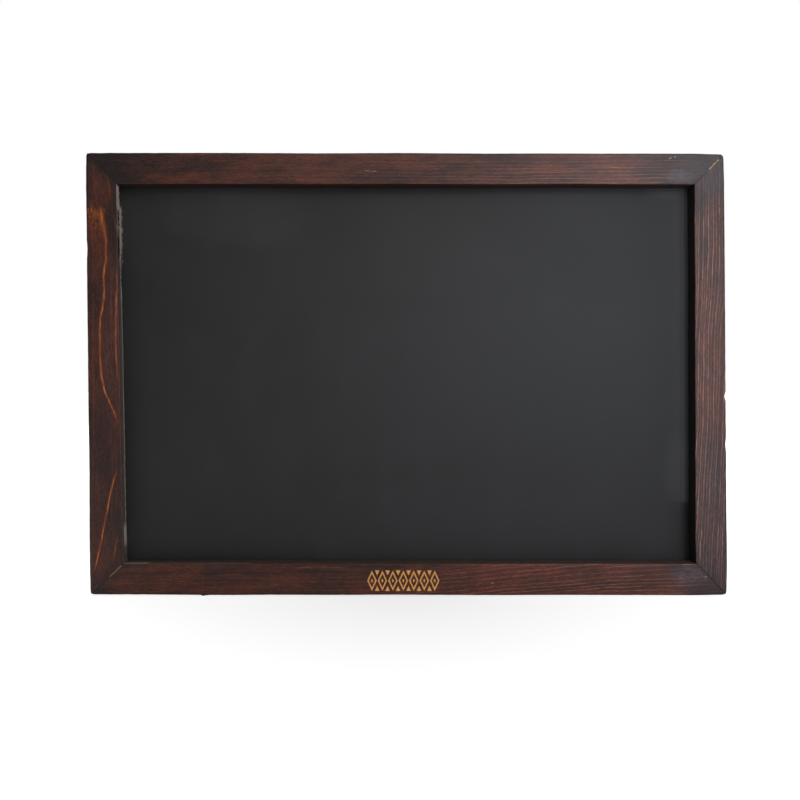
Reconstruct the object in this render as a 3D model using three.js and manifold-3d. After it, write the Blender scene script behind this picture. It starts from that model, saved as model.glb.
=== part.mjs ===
// A framed chalkboard: a hardboard writing panel in four mitred pine rails, with the hardware on its back.
// Millimetres. X runs along the board, Y from the front to the wall and Z up.
// The origin is below the middle of the board's depth, at the centre of its bottom edge.
import * as THREE from "three";
import { mergeVertices } from "three/addons/utils/BufferGeometryUtils.js";
import Module from "manifold-3d";

const wasm = await Module();
wasm.setup();

// Writing panel
const panelWidth = 600;
const panelHeight = 400;
const panelThickness = 3;
const panelClearance = 1; // around the panel, to the walls of the rabbet

// Rails, seen in section
const railWidth = 32; // outer edge to sight edge, on the front
const sightDepth = 14; // front of the frame to the ledge that the panel lies on
const rabbetWidth = 8; // sight edge to the wall of the rabbet
const outerEdgeRadius = 1.4;
const sightEdgeRadius = 0.8;
const frameCornerRadius = 2.4;

// Fits
const glueLine = 0.3; // between two mitres
const seatGap = 0.3; // between a loose piece and what it lies on
const cutClearance = 0.3; // round a fastener in its cut

// V-nails, driven across the mitres from the back
const nailLeg = 6;
const nailThickness = 0.6;
const nailHeight = 10;
const nailSetback = 0.2; // below the back of the frame
const nailMargin = 4; // wood left beside a nail, to the outer face and to the rabbet

// Framer's points, which hold the panel on its ledge
const pointWidth = 6;
const pointThickness = 0.5;
const pointBite = 8; // in the wood, with its tip
const pointReach = 7; // over the rabbet
const pointTip = 4;
const pointSetback = 1.9; // below the back of the frame
const pointsAlongRail = 3;
const pointsAlongStile = 2;

// Hangers: a strap folded round the bar of a wire ring
const wireRadius = 1;
const eyeClearance = 0.3; // round the wire, in the eye of the strap
const strapSheet = 0.8; // one of the strap's two layers
const strapWidth = 12;
const strapTailRadius = 3;
const strapEndMargin = 2.5; // past the head of the lower screw
const barClearance = 0.5; // eye to the bend of the ring, at each side
const ringBendRadius = 2.5;
const ringLegLength = 2.5; // straight part of the ring between a bend and the bow
const ringButtGap = 0.4; // between the two ends of the wire, in the eye
const hangerDrop = 90; // top of the frame to the axis of the eye

// Screws of the hangers
const screwHeadRadius = 3.5;
const screwHeadHeight = 2.2;
const screwRimHeight = 1; // upright rim under the domed part of the head
const screwCrownRadius = 2; // flat middle of the dome
const screwShankRadius = 1.75;
const screwLength = 14; // under the head
const screwTipLength = 4;
const screwToRing = 3.5; // head of the lower screw to the folded ring
const crossWidth = 0.9;
const crossSpan = 3.8;
const crossDepth = 1.2;

// Bumpers, which hold the lower edge as far off the wall as the hangers hold the upper one
const bumperRadius = 6;
const bumperChamfer = 0.8;
const bumperOverEye = 0.8; // bumper over the thickness of the hanger

// Steps of round shapes
const arcSteps = 4;
const latheSteps = 24;
const wireSides = 10;
const wireSteps = 64;
const mergeDistance = 1e-4;

// What follows from the sizes above
const railThickness = sightDepth + 2 * seatGap + panelThickness + pointThickness + pointSetback;
const landWidth = railWidth - rabbetWidth;
const frameWidth = panelWidth + 2 * (panelClearance + landWidth);
const frameHeight = panelHeight + 2 * (panelClearance + landWidth);
const panelFront = sightDepth + seatGap;
const pointFront = panelFront + panelThickness + seatGap;
const nailInsets = [nailMargin + nailLeg, landWidth - nailMargin]; // outer faces to a V's point
const eyeBoreRadius = wireRadius + eyeClearance;
const eyeRadius = eyeBoreRadius + strapSheet;
const strapThickness = 2 * strapSheet;
const ringHalfWidth = strapWidth / 2 + barClearance + ringBendRadius; // to the middle of the wire
const ringReach = ringBendRadius + ringLegLength + ringHalfWidth; // bar to bow, to the middle of the wire
const upperScrewDrop = (eyeRadius + ringReach - wireRadius) / 2; // midway in the folded ring
const lowerScrewDrop = ringReach + wireRadius + screwToRing + screwHeadRadius;
const strapTail = lowerScrewDrop + screwHeadRadius + strapEndMargin;
const ringLean = Math.asin((eyeRadius - wireRadius - seatGap) / ringReach);
const bumperHeight = 2 * eyeRadius + bumperOverEye;
const overallDepth = railThickness + bumperHeight;

const stainedPine = { color: 0x4a2c22, roughness: 0.5, metalness: 0 };
const chalkPaint = { color: 0x2c2c2e, roughness: 0.85, metalness: 0 };
const bareSteel = { color: 0xa9a9a6, roughness: 0.4, metalness: 0.9 };
const zincSteel = { color: 0xb9bcc0, roughness: 0.35, metalness: 0.9 };
const blackRubber = { color: 0x1b1b1c, roughness: 0.8, metalness: 0 };

/** A closed shape through [x, y, radius] corners, each rounded by its radius. */
function roundedShape(corners) {
  const shape = new THREE.Shape();
  corners.forEach(([x, y, radius = 0], i) => {
    const corner = new THREE.Vector2(x, y);
    const before = new THREE.Vector2(...corners.at(i - 1).slice(0, 2));
    const after = new THREE.Vector2(...corners[(i + 1) % corners.length].slice(0, 2));
    const start = corner.clone().add(before.sub(corner).setLength(radius));
    const end = corner.clone().add(after.sub(corner).setLength(radius));
    if (i === 0) shape.moveTo(start.x, start.y);
    else shape.lineTo(start.x, start.y);
    if (radius > 0) shape.quadraticCurveTo(corner.x, corner.y, end.x, end.y);
  });
  shape.closePath();
  return shape;
}

/** A shape drawn in (-Z, Y), extruded along X and centred on it. */
function extrudeAlongX(shape, length, curveSegments = arcSteps) {
  const geometry = new THREE.ExtrudeGeometry(shape, {
    depth: length,
    bevelEnabled: false,
    curveSegments,
  });
  return geometry.translate(0, 0, -length / 2).rotateY(Math.PI / 2);
}

/** A shape drawn in (X, Z), extruded along Y from yStart to yEnd. */
function extrudeAlongY(shape, yStart, yEnd) {
  const geometry = new THREE.ExtrudeGeometry(shape, {
    depth: yEnd - yStart,
    bevelEnabled: false,
    curveSegments: arcSteps,
  });
  return geometry.rotateX(Math.PI / 2).translate(0, yEnd, 0);
}

/** The solid inside a closed geometry. */
function solidOf(geometry) {
  const bare = geometry.clone();
  bare.deleteAttribute("normal");
  bare.deleteAttribute("uv");
  const merged = mergeVertices(bare, mergeDistance);
  const corners = merged.index.array;
  const triangles = [];
  for (let i = 0; i < corners.length; i += 3) {
    const [a, b, c] = corners.slice(i, i + 3);
    if (a !== b && b !== c && c !== a) triangles.push(a, b, c);
  }
  return new wasm.Manifold(
    new wasm.Mesh({
      numProp: 3,
      vertProperties: merged.attributes.position.array,
      triVerts: new Uint32Array(triangles),
    }),
  );
}

/** The surface of a solid as a geometry. */
function geometryOf(solid) {
  const mesh = solid.getMesh();
  const geometry = new THREE.BufferGeometry();
  geometry.setAttribute("position", new THREE.BufferAttribute(mesh.vertProperties, 3));
  geometry.setIndex(new THREE.BufferAttribute(mesh.triVerts, 1));
  geometry.computeVertexNormals();
  return geometry;
}

/** A named mesh, added to a group at a place in it. */
function place(group, name, geometry, material, position = [0, 0, 0]) {
  const mesh = new THREE.Mesh(geometry, new THREE.MeshStandardMaterial(material));
  mesh.name = name;
  mesh.position.set(...position);
  group.add(mesh);
  return mesh;
}

/** Evenly spread places along a length, the same distance apart all the way. */
function spread(count, length) {
  return Array.from({ length: count }, (_, i) => ((i + 0.5) / count - 0.5) * length);
}

/**
 * The plan of a V-nail or of its slot: two legs at a right angle, with the point of the V at
 * (inset, inset) from the frame's outer corner. Its legs run back towards the outer faces.
 */
function nailPlan(inset, clearance) {
  const outside = inset + clearance;
  const inside = inset - nailThickness - clearance;
  const end = inset - nailLeg - clearance;
  return roundedShape([
    [outside, outside],
    [end, outside],
    [end, inside],
    [inside, inside],
    [inside, end],
    [outside, end],
  ]);
}

/** The plan of a framer's point or of its slot, with its tip towards the outer edge of the rail. */
function pointPlan(clearance) {
  const half = pointWidth / 2 + clearance;
  const tip = landWidth - pointBite - clearance;
  return roundedShape([
    [0, tip],
    [half, tip + pointTip],
    [half, landWidth + pointReach],
    [-half, landWidth + pointReach],
    [-half, tip + pointTip],
  ]);
}

/** Pilot hole for a hanger screw, drilled into the back of a rail. */
function pilotHole(x, z) {
  const radius = screwShankRadius + cutClearance;
  const depth = screwLength - strapThickness + cutClearance;
  const hole = new THREE.CylinderGeometry(radius, radius, 2 * depth, latheSteps);
  return solidOf(hole.translate(x, railThickness, z));
}

/**
 * A mitred, rabbeted rail that lies along X, with its outer edge at z = 0 and its front at y = 0.
 * pointPlaces are the places of its framer's points, and holePlaces the [x, z] of its pilot holes.
 */
function railGeometry(length, pointPlaces, holePlaces) {
  const section = roundedShape([
    [0, 0, outerEdgeRadius],
    [0, railThickness, outerEdgeRadius],
    [-landWidth, railThickness],
    [-landWidth, sightDepth],
    [-railWidth, sightDepth],
    [-railWidth, 0, sightEdgeRadius],
  ]);
  const gap = glueLine / Math.SQRT2;
  const half = length / 2;
  const mitres = roundedShape([
    [-half - railWidth + gap, -railWidth],
    [half + railWidth - gap, -railWidth],
    [half - 2 * railWidth - gap, 2 * railWidth],
    [-half + 2 * railWidth + gap, 2 * railWidth],
  ]);
  const outline = roundedShape([
    [-half, 0, frameCornerRadius],
    [half, 0, frameCornerRadius],
    [half, 2 * railWidth],
    [-half, 2 * railWidth],
  ]);
  let rail = solidOf(extrudeAlongX(section, length))
    .intersect(solidOf(extrudeAlongY(mitres, -railThickness, 2 * railThickness)))
    .intersect(solidOf(extrudeAlongY(outline, -railThickness, 2 * railThickness)));

  const slotBottom = railThickness - nailSetback - nailHeight - cutClearance;
  for (const inset of nailInsets) {
    const slot = extrudeAlongY(nailPlan(inset, cutClearance), slotBottom, 2 * railThickness);
    const left = solidOf(slot.clone().translate(-half, 0, 0));
    rail = rail.subtract(left).subtract(left.mirror([1, 0, 0]));
  }
  const cut = extrudeAlongY(
    pointPlan(cutClearance),
    pointFront - cutClearance,
    pointFront + pointThickness + cutClearance,
  );
  for (const x of pointPlaces) {
    rail = rail.subtract(solidOf(cut.clone().translate(x, 0, 0)));
  }
  for (const [x, z] of holePlaces) {
    rail = rail.subtract(pilotHole(x, z));
  }
  return geometryOf(rail);
}

/** The middle line of a ring's wire: half its bar, a bend, a leg, the bow, and back to the bar. */
class RingLine extends THREE.Curve {
  constructor() {
    super();
    const bar = strapWidth / 2 + barClearance - ringButtGap / 2;
    this.parts = [
      [bar, (s) => [ringButtGap / 2 + s, 0]],
      [(Math.PI / 2) * ringBendRadius, (s) => {
        const turn = s / ringBendRadius;
        return [
          ringHalfWidth - ringBendRadius * (1 - Math.sin(turn)),
          ringBendRadius * (1 - Math.cos(turn)),
        ];
      }],
      [ringLegLength, (s) => [ringHalfWidth, ringBendRadius + s]],
      [(Math.PI / 2) * ringHalfWidth, (s) => {
        const turn = s / ringHalfWidth;
        return [
          ringHalfWidth * Math.cos(turn),
          ringBendRadius + ringLegLength + ringHalfWidth * Math.sin(turn),
        ];
      }],
    ];
    this.half = this.parts.reduce((sum, [length]) => sum + length, 0);
  }

  getPoint(t, target = new THREE.Vector3()) {
    const along = t * 2 * this.half;
    const side = along <= this.half ? 1 : -1;
    let s = side > 0 ? along : 2 * this.half - along;
    for (const [length, at] of this.parts) {
      if (s <= length) {
        const [x, z] = at(s);
        return target.set(side * x, 0, z);
      }
      s -= length;
    }
    return target.set(0, 0, ringReach);
  }
}

function ringGeometry() {
  const section = new THREE.Shape(
    Array.from({ length: wireSides }, (_, i) => {
      const turn = (2 * Math.PI * i) / wireSides;
      return new THREE.Vector2(wireRadius * Math.cos(turn), wireRadius * Math.sin(turn));
    }),
  );
  return new THREE.ExtrudeGeometry(section, { steps: wireSteps, extrudePath: new RingLine() });
}

/** The folded strap. Its eye is round the X axis, eyeRadius above the wood, and its tail hangs down. */
function strapGeometry() {
  const section = new THREE.Shape();
  const creaseAngle = Math.asin((strapThickness - eyeRadius) / eyeRadius);
  const crease = eyeRadius * Math.cos(creaseAngle);
  section.moveTo(strapTail, 0);
  section.lineTo(strapTail, strapThickness);
  section.lineTo(crease, strapThickness);
  section.absarc(0, eyeRadius, eyeRadius, creaseAngle, (3 * Math.PI) / 2, false);
  section.closePath();
  const bore = new THREE.Path();
  bore.absarc(0, eyeRadius, eyeBoreRadius, 0, 2 * Math.PI, true);
  section.holes.push(bore);
  const folded = extrudeAlongX(section, strapWidth, latheSteps / 2);
  const outline = roundedShape([
    [-strapWidth / 2, -strapTail, strapTailRadius],
    [strapWidth / 2, -strapTail, strapTailRadius],
    [strapWidth / 2, 2 * eyeRadius],
    [-strapWidth / 2, 2 * eyeRadius],
  ]);
  let strap = solidOf(folded).intersect(
    solidOf(extrudeAlongY(outline, -eyeRadius, 3 * eyeRadius)),
  );
  const radius = screwShankRadius + cutClearance;
  for (const drop of [upperScrewDrop, lowerScrewDrop]) {
    const hole = new THREE.CylinderGeometry(radius, radius, 4 * strapThickness, latheSteps);
    strap = strap.subtract(solidOf(hole.translate(0, 0, -drop)));
  }
  return geometryOf(strap);
}

/** A pan-head screw that points along -Y, with the underside of its head at y = 0. */
function screwGeometry() {
  const profile = new THREE.Path();
  profile.moveTo(0, -screwLength);
  profile.lineTo(screwShankRadius, -screwLength + screwTipLength);
  profile.lineTo(screwShankRadius, 0);
  profile.lineTo(screwHeadRadius, 0);
  profile.lineTo(screwHeadRadius, screwRimHeight);
  profile.quadraticCurveTo(screwHeadRadius, screwHeadHeight, screwCrownRadius, screwHeadHeight);
  profile.lineTo(0, screwHeadHeight);
  let screw = solidOf(new THREE.LatheGeometry(profile.getPoints(arcSteps), latheSteps));
  for (const [x, z] of [[crossSpan, crossWidth], [crossWidth, crossSpan]]) {
    const slot = new THREE.BoxGeometry(x, 2 * crossDepth, z).translate(0, screwHeadHeight, 0);
    screw = screw.subtract(solidOf(slot));
  }
  return geometryOf(screw);
}

/** A round bumper that stands on y = 0, with a flat face that meets the wall. */
function bumperGeometry() {
  const profile = new THREE.Path();
  profile.moveTo(0, 0);
  profile.lineTo(bumperRadius, 0);
  profile.lineTo(bumperRadius, bumperHeight - bumperChamfer);
  profile.lineTo(bumperRadius - bumperChamfer, bumperHeight);
  profile.lineTo(0, bumperHeight);
  return new THREE.LatheGeometry(profile.getPoints(), latheSteps);
}

const hangerZ = frameHeight - hangerDrop;
const hangerX = frameWidth / 2 - landWidth / 2;

/** The four rails, each in a turned group of its own with the framer's points that it holds. */
function addRails(board) {
  const screwsUp = [upperScrewDrop, lowerScrewDrop].map((drop) => hangerZ - drop - frameHeight / 2);
  const sides = [
    { tag: "bottom", turn: 0, at: [0, 0], screws: [] },
    { tag: "top", turn: Math.PI, at: [0, frameHeight], screws: [] },
    { tag: "left", turn: Math.PI / 2, at: [-frameWidth / 2, frameHeight / 2],
      screws: screwsUp.map((up) => -up) },
    { tag: "right", turn: -Math.PI / 2, at: [frameWidth / 2, frameHeight / 2], screws: screwsUp },
  ];
  for (const { tag, turn, at, screws } of sides) {
    const group = new THREE.Group();
    group.position.set(at[0], 0, at[1]);
    group.rotation.y = turn;
    board.add(group);
    const upright = tag === "left" || tag === "right";
    const length = upright ? frameHeight : frameWidth;
    const places = upright
      ? spread(pointsAlongStile, panelHeight)
      : spread(pointsAlongRail, panelWidth);
    const holes = screws.map((x) => [x, landWidth / 2]);
    const name = upright ? `${tag}_stile` : `${tag}_rail`;
    place(group, name, railGeometry(length, places, holes), stainedPine);
    const point = extrudeAlongY(pointPlan(0), pointFront, pointFront + pointThickness);
    places.forEach((x, i) => {
      place(group, `point_${tag}_${i + 1}`, point, bareSteel, [x, 0, 0]);
    });
  }
}

/** Two V-nails at each corner, in a group turned so that its X and Z run inwards. */
function addNails(board) {
  const corners = [
    { tag: "bottom_left", turn: 0, at: [-frameWidth / 2, 0] },
    { tag: "top_left", turn: Math.PI / 2, at: [-frameWidth / 2, frameHeight] },
    { tag: "top_right", turn: Math.PI, at: [frameWidth / 2, frameHeight] },
    { tag: "bottom_right", turn: -Math.PI / 2, at: [frameWidth / 2, 0] },
  ];
  const top = railThickness - nailSetback;
  for (const { tag, turn, at } of corners) {
    const group = new THREE.Group();
    group.position.set(at[0], 0, at[1]);
    group.rotation.y = turn;
    board.add(group);
    const [outer, inner] = nailInsets;
    for (const [where, inset] of [["outer", outer], ["inner", inner]]) {
      const nail = extrudeAlongY(nailPlan(inset, 0), top - nailHeight, top);
      place(group, `v_nail_${tag}_${where}`, nail, bareSteel);
    }
  }
}

/** A D-ring hanger on the back of a stile, with its ring turned up and leaning on the wood. */
function addHanger(board, tag, x) {
  const hanger = new THREE.Group();
  hanger.position.set(x, railThickness, hangerZ);
  board.add(hanger);
  place(hanger, `hanger_strap_${tag}`, strapGeometry(), zincSteel);
  const ring = place(hanger, `hang_ring_${tag}`, ringGeometry(), zincSteel, [0, eyeRadius, 0]);
  ring.rotation.x = ringLean;
  for (const [where, drop] of [["upper", upperScrewDrop], ["lower", lowerScrewDrop]]) {
    const seat = [0, strapThickness, -drop];
    place(hanger, `hanger_screw_${tag}_${where}`, screwGeometry(), zincSteel, seat);
  }
}

function buildBoard() {
  const board = new THREE.Group();
  board.position.y = -overallDepth / 2;
  const panel = new THREE.BoxGeometry(panelWidth, panelThickness, panelHeight);
  const panelPlace = [0, panelFront + panelThickness / 2, frameHeight / 2];
  place(board, "writing_panel", panel, chalkPaint, panelPlace);
  addRails(board);
  addNails(board);
  addHanger(board, "left", -hangerX);
  addHanger(board, "right", hangerX);
  for (const [tag, side] of [["left", -1], ["right", 1]]) {
    const seat = [side * hangerX, railThickness, railWidth + bumperRadius];
    place(board, `bumper_${tag}`, bumperGeometry(), blackRubber, seat);
  }
  const part = new THREE.Group();
  part.add(board);
  return part;
}

export default buildBoard();
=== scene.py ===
"""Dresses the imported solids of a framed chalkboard.

The board is a hardboard writing panel in four mitred pine rails, stained dark red-brown and seen
straight from the front. Its back carries two ring hangers, framer's points, V-nails and bumpers.

Everything is in metres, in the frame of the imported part: X along the board, Y from its front to the
wall behind it, and Z up. Sizes are written in millimetres and multiplied by MM.
"""

from __future__ import annotations

import logging
import math
from dataclasses import dataclass, field, replace
from enum import Enum
from typing import Callable, Iterable, Sequence, Union

import bmesh
import bpy
from mathutils import Matrix, Vector, noise


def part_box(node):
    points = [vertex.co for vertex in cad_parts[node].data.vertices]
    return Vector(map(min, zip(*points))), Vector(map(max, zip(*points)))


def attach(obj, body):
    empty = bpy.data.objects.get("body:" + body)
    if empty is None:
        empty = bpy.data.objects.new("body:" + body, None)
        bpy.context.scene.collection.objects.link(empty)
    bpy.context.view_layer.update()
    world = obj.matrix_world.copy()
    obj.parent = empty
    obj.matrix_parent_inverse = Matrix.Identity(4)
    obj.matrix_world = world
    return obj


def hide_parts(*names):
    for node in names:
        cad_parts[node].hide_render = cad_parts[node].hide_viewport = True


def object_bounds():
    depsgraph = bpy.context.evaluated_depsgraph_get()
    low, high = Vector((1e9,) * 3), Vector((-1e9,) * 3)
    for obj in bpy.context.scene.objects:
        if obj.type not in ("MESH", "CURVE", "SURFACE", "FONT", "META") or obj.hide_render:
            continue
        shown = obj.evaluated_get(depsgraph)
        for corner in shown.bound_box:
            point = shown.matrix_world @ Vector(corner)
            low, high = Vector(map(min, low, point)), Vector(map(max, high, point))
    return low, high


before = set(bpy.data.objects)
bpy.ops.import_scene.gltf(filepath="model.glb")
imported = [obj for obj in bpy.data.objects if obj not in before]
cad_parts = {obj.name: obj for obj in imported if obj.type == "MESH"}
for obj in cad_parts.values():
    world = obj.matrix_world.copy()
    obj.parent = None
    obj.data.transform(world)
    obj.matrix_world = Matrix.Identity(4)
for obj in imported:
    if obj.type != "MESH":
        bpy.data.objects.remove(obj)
CAD_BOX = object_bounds()

LOG = logging.getLogger("chalkboard")

MM = 0.001
BOARD = "board"
SMOOTH_BELOW = 35.0
SAME_POINT = 1e-7

BMesh = bmesh.types.BMesh
BMEdge = bmesh.types.BMEdge
BMVert = bmesh.types.BMVert
Material = bpy.types.Material
Piece = bpy.types.Object
Value = Union[float, "Wire"]
Colour = tuple[float, float, float]
Points = tuple[tuple[float, float], ...]


def srgb(red: int, green: int, blue: int) -> Colour:
    """A colour written as 0 to 255 display values, in the linear values that shaders take."""

    def linear(level: int) -> float:
        """One channel, by the sRGB curve."""
        share = level / 255
        return share / 12.92 if share <= 0.04045 else ((share + 0.055) / 1.055) ** 2.4

    return linear(red), linear(green), linear(blue)


WHITE = (1.0, 1.0, 1.0)


def between(points: Sequence[tuple[float, float]], at: float) -> float:
    """The value at a place on a line of straight pieces.

    Args:
        points: (place, value) pairs, with rising places.
        at: the place asked for. Past an end, the end's value holds.

    Returns:
        The value there.
    """
    if at <= points[0][0]:
        return points[0][1]
    for (low, start), (high, end) in zip(points, points[1:]):
        if at <= high:
            return start + (end - start) * (at - low) / (high - low)
    return points[-1][1]


def arithmetic(operation: str, swapped: bool = False) -> Callable[[Wire, Value], Wire]:
    """A method that lets an operator of Wire add one Math node."""

    def method(wire: Wire, other: Value) -> Wire:
        """The operation's result."""
        return wire.shader.math(operation, *((other, wire) if swapped else (wire, other)))

    return method


@dataclass(frozen=True)
class Wire:
    """A value that a node gives. Sums with it add the nodes that work them out."""

    shader: Shader
    socket: bpy.types.NodeSocket

    __add__, __radd__ = arithmetic("ADD"), arithmetic("ADD", swapped=True)
    __sub__, __rsub__ = arithmetic("SUBTRACT"), arithmetic("SUBTRACT", swapped=True)
    __mul__, __rmul__ = arithmetic("MULTIPLY"), arithmetic("MULTIPLY", swapped=True)
    __pow__ = arithmetic("POWER")

    def __abs__(self) -> Wire:
        """The value without its sign."""
        return self.shader.math("ABSOLUTE", self)

    def beside(self, output: Union[int, str]) -> Wire:
        """Another output of the same node."""
        return Wire(self.shader, self.socket.node.outputs[output])

    def step(self, low: float, high: float, start: float = 0.0, end: float = 1.0) -> Wire:
        """A smooth step from start to end as this value goes from low to high.

        Args:
            low: where the step begins.
            high: where it ends. It may be less than low.
            start: the result before the step.
            end: the result after it.

        Returns:
            The stepped value.
        """
        if low > high:
            low, high, start, end = high, low, end, start
        inputs = (self, low, high, start, end)
        return self.shader.node("ShaderNodeMapRange", inputs, interpolation_type="SMOOTHSTEP")

    def within(self, start: float, end: float, soft: float) -> Wire:
        """1 where this value lies between two ends and 0 elsewhere, with soft edges."""
        return self.step(start - soft, start + soft) * self.step(end + soft, end - soft)

    def curve(self, points: Sequence[tuple[float, float]]) -> Wire:
        """A smooth curve through (place, result) points.

        Args:
            points: at least two points with rising places.

        Returns:
            The curve's result where this value is the place.
        """
        low, high = points[0][0], points[-1][0]
        results = [result for _, result in points]
        base = min(results)
        span = max(max(results) - base, 1e-6)
        share = self.shader.node("ShaderNodeMapRange", (self, low, high, 0.0, 1.0))
        made = self.shader.node("ShaderNodeFloatCurve", {"Value": share})
        mapping = made.socket.node.mapping
        line = mapping.curves[0]
        while len(line.points) < len(points):
            line.points.new(0.5, 0.5)
        for point, (place, result) in zip(line.points, points):
            point.location = ((place - low) / (high - low), (result - base) / span)
            point.handle_type = "AUTO_CLAMPED"
        mapping.update()
        return made * span + base


class Shader:
    """A material or a world that is laid out node by node, with lengths in millimetres."""

    def __init__(self, name: str, world: bool = False) -> None:
        """Starts a material with a Principled surface, or a world with a background."""
        self.owner = (bpy.data.worlds if world else bpy.data.materials).new(name)
        self.owner.use_nodes = True
        self.tree = self.owner.node_tree
        self.end = self.tree.nodes["Background" if world else "Principled BSDF"]

    def node(self, kind: str, inputs: Union[tuple, dict] = (), output: Union[int, str] = 0,
             **settings: object) -> Wire:
        """Adds a node.

        Args:
            kind: the node's type.
            inputs: what its inputs get, in their order, or by their names or numbers.
            output: which output is wanted.
            settings: its properties.

        Returns:
            The wanted output.
        """
        made = self.tree.nodes.new(kind)
        for name, value in settings.items():
            setattr(made, name, value)
        self.feed(made, inputs)
        return Wire(self, made.outputs[output])

    def feed(self, node: bpy.types.Node, inputs: Union[tuple, dict]) -> None:
        """Links wires to a node's inputs, and sets the other inputs to plain numbers and colours."""
        for key, value in inputs.items() if isinstance(inputs, dict) else enumerate(inputs):
            socket = node.inputs[key]
            if isinstance(value, Wire):
                self.tree.links.new(value.socket, socket)
            else:
                socket.default_value = (*value, 1.0) if isinstance(value, tuple) else value

    def math(self, operation: str, *inputs: Value, clamp: bool = False) -> Wire:
        """The result of one Math node."""
        return self.node("ShaderNodeMath", inputs, operation=operation, use_clamp=clamp)

    def either(self, a: Value, b: Value) -> Wire:
        """The larger of a and b."""
        return self.math("MAXIMUM", a, b)

    def noise(self, place: tuple[Value, ...], scale: float = 1.0, detail: float = 2.0, rough: float = 0.5,
              distortion: float = 0.0) -> Wire:
        """Smooth noise between 0 and 1, mostly near the middle."""
        vector = self.node("ShaderNodeCombineXYZ", place)
        inputs = {"Vector": vector, "Scale": scale, "Detail": detail, "Roughness": rough,
                  "Distortion": distortion}
        return self.node("ShaderNodeTexNoise", inputs, "Fac")

    def spots(self, place: tuple[Value, ...], scale: float, radius: float, share: float) -> Wire:
        """Scattered round spots.

        Args:
            place: where, in millimetres.
            scale: cells a millimetre.
            radius: a spot's radius, as a share of a cell.
            share: how many of the cells hold a spot.

        Returns:
            1 in a spot and 0 elsewhere.
        """
        vector = self.node("ShaderNodeCombineXYZ", place)
        inputs = {"Vector": vector, "Scale": scale}
        cells = self.node("ShaderNodeTexVoronoi", inputs, "Color", feature="F1")
        chance = self.node("ShaderNodeSeparateColor", (cells,))
        here = chance.step(1 - share, 1 - share + 0.02)
        size = (chance.beside(1) + 0.3) * radius
        return here * (size - cells.beside("Distance")).step(0.0, radius * 0.5)

    def mix(self, share: Value, a: Union[Colour, Wire], b: Union[Colour, Wire], blend: str = "MIX") -> Wire:
        """Colour a with a share of colour b over it."""
        return self.node("ShaderNodeMix", {0: share, 6: a, 7: b}, 2, data_type="RGBA", blend_type=blend,
                         clamp_factor=True)

    def scale(self, colour: Union[Colour, Wire], level: Value) -> Wire:
        """A colour made lighter or darker by a level."""
        grey = self.node("ShaderNodeCombineColor", (level, level, level))
        return self.mix(1.0, colour, grey, "MULTIPLY")

    def place(self) -> tuple[Wire, Wire, Wire]:
        """X, Y and Z of the shaded point, in millimetres in the part's frame."""
        x = self.node("ShaderNodeSeparateXYZ", (self.node("ShaderNodeTexCoord", output="Object"),))
        return x * (1 / MM), x.beside(1) * (1 / MM), x.beside(2) * (1 / MM)

    def bump(self, height: Value, depth: float, below: Wire | None = None) -> Wire:
        """A bumped normal.

        Args:
            height: the relief, from 0 to 1.
            depth: what 1 means, in millimetres.
            below: a coarser bumped normal that this one adds to.

        Returns:
            The normal.
        """
        inputs = {"Strength": 1.0, "Distance": depth * MM, "Height": height}
        return self.node("ShaderNodeBump", inputs if below is None else {**inputs, "Normal": below})

    def finish(self, colour: Wire, roughness: Value, normal: Wire, ior: float = 1.5,
               metallic: float = 0.0) -> Material:
        """Feeds the surface, and returns the finished material."""
        self.feed(self.end, {"Base Color": colour, "Roughness": roughness, "Normal": normal, "IOR": ior,
                             "Metallic": metallic})
        return self.owner


def oval(run: Wire, half_run: float, rise: Wire, half_rise: float) -> Wire:
    """The square of how far out an offset lies in an ellipse: 1 at its rim."""
    return (run * (1 / half_run)) ** 2.0 + (rise * (1 / half_rise)) ** 2.0


def only(kind: type, items: Iterable[object]) -> list:
    """Those of the items that are of a kind."""
    return [item for item in items if isinstance(item, kind)]


def outward(shape: BMesh) -> None:
    """Turns all the faces of a closed shape outwards."""
    bmesh.ops.recalc_face_normals(shape, faces=shape.faces)


def move(shape: BMesh, by: Union[Sequence[float], Matrix]) -> None:
    """Moves a whole shape by a vector, or by a matrix."""
    matrix = by if isinstance(by, Matrix) else Matrix.Translation(by)
    bmesh.ops.transform(shape, matrix=matrix, verts=shape.verts)


def grow(shape: BMesh, faces: Sequence[bmesh.types.BMFace], by: Sequence[float]) -> list[BMVert]:
    """Extrudes faces by a vector, and returns the moved vertices."""
    raised = only(BMVert, bmesh.ops.extrude_face_region(shape, geom=faces)["geom"])
    bmesh.ops.translate(shape, vec=by, verts=raised)
    return raised


def shade(mesh: bpy.types.Mesh, smooth_below: float) -> None:
    """Shades edges smooth that are flatter than so many degrees."""
    mesh.shade_smooth()
    mesh.set_sharp_from_angle(angle=math.radians(smooth_below))


def make_piece(shape: BMesh, name: str, materials: Sequence[Material],
               smooth_below: float = SMOOTH_BELOW) -> Piece:
    """Turns a bmesh into an object that sits at the origin.

    Args:
        shape: the shape in metres, at its place. It is freed.
        name: the object's name.
        materials: its material slots, in the order of the faces' indices.
        smooth_below: edges flatter than this many degrees are shaded smooth.

    Returns:
        The new object, in the scene.
    """
    mesh = bpy.data.meshes.new(name)
    shape.to_mesh(mesh)
    shape.free()
    for material in materials:
        mesh.materials.append(material)
    shade(mesh, smooth_below)
    piece = bpy.data.objects.new(name, mesh)
    bpy.context.scene.collection.objects.link(piece)
    return piece


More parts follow.
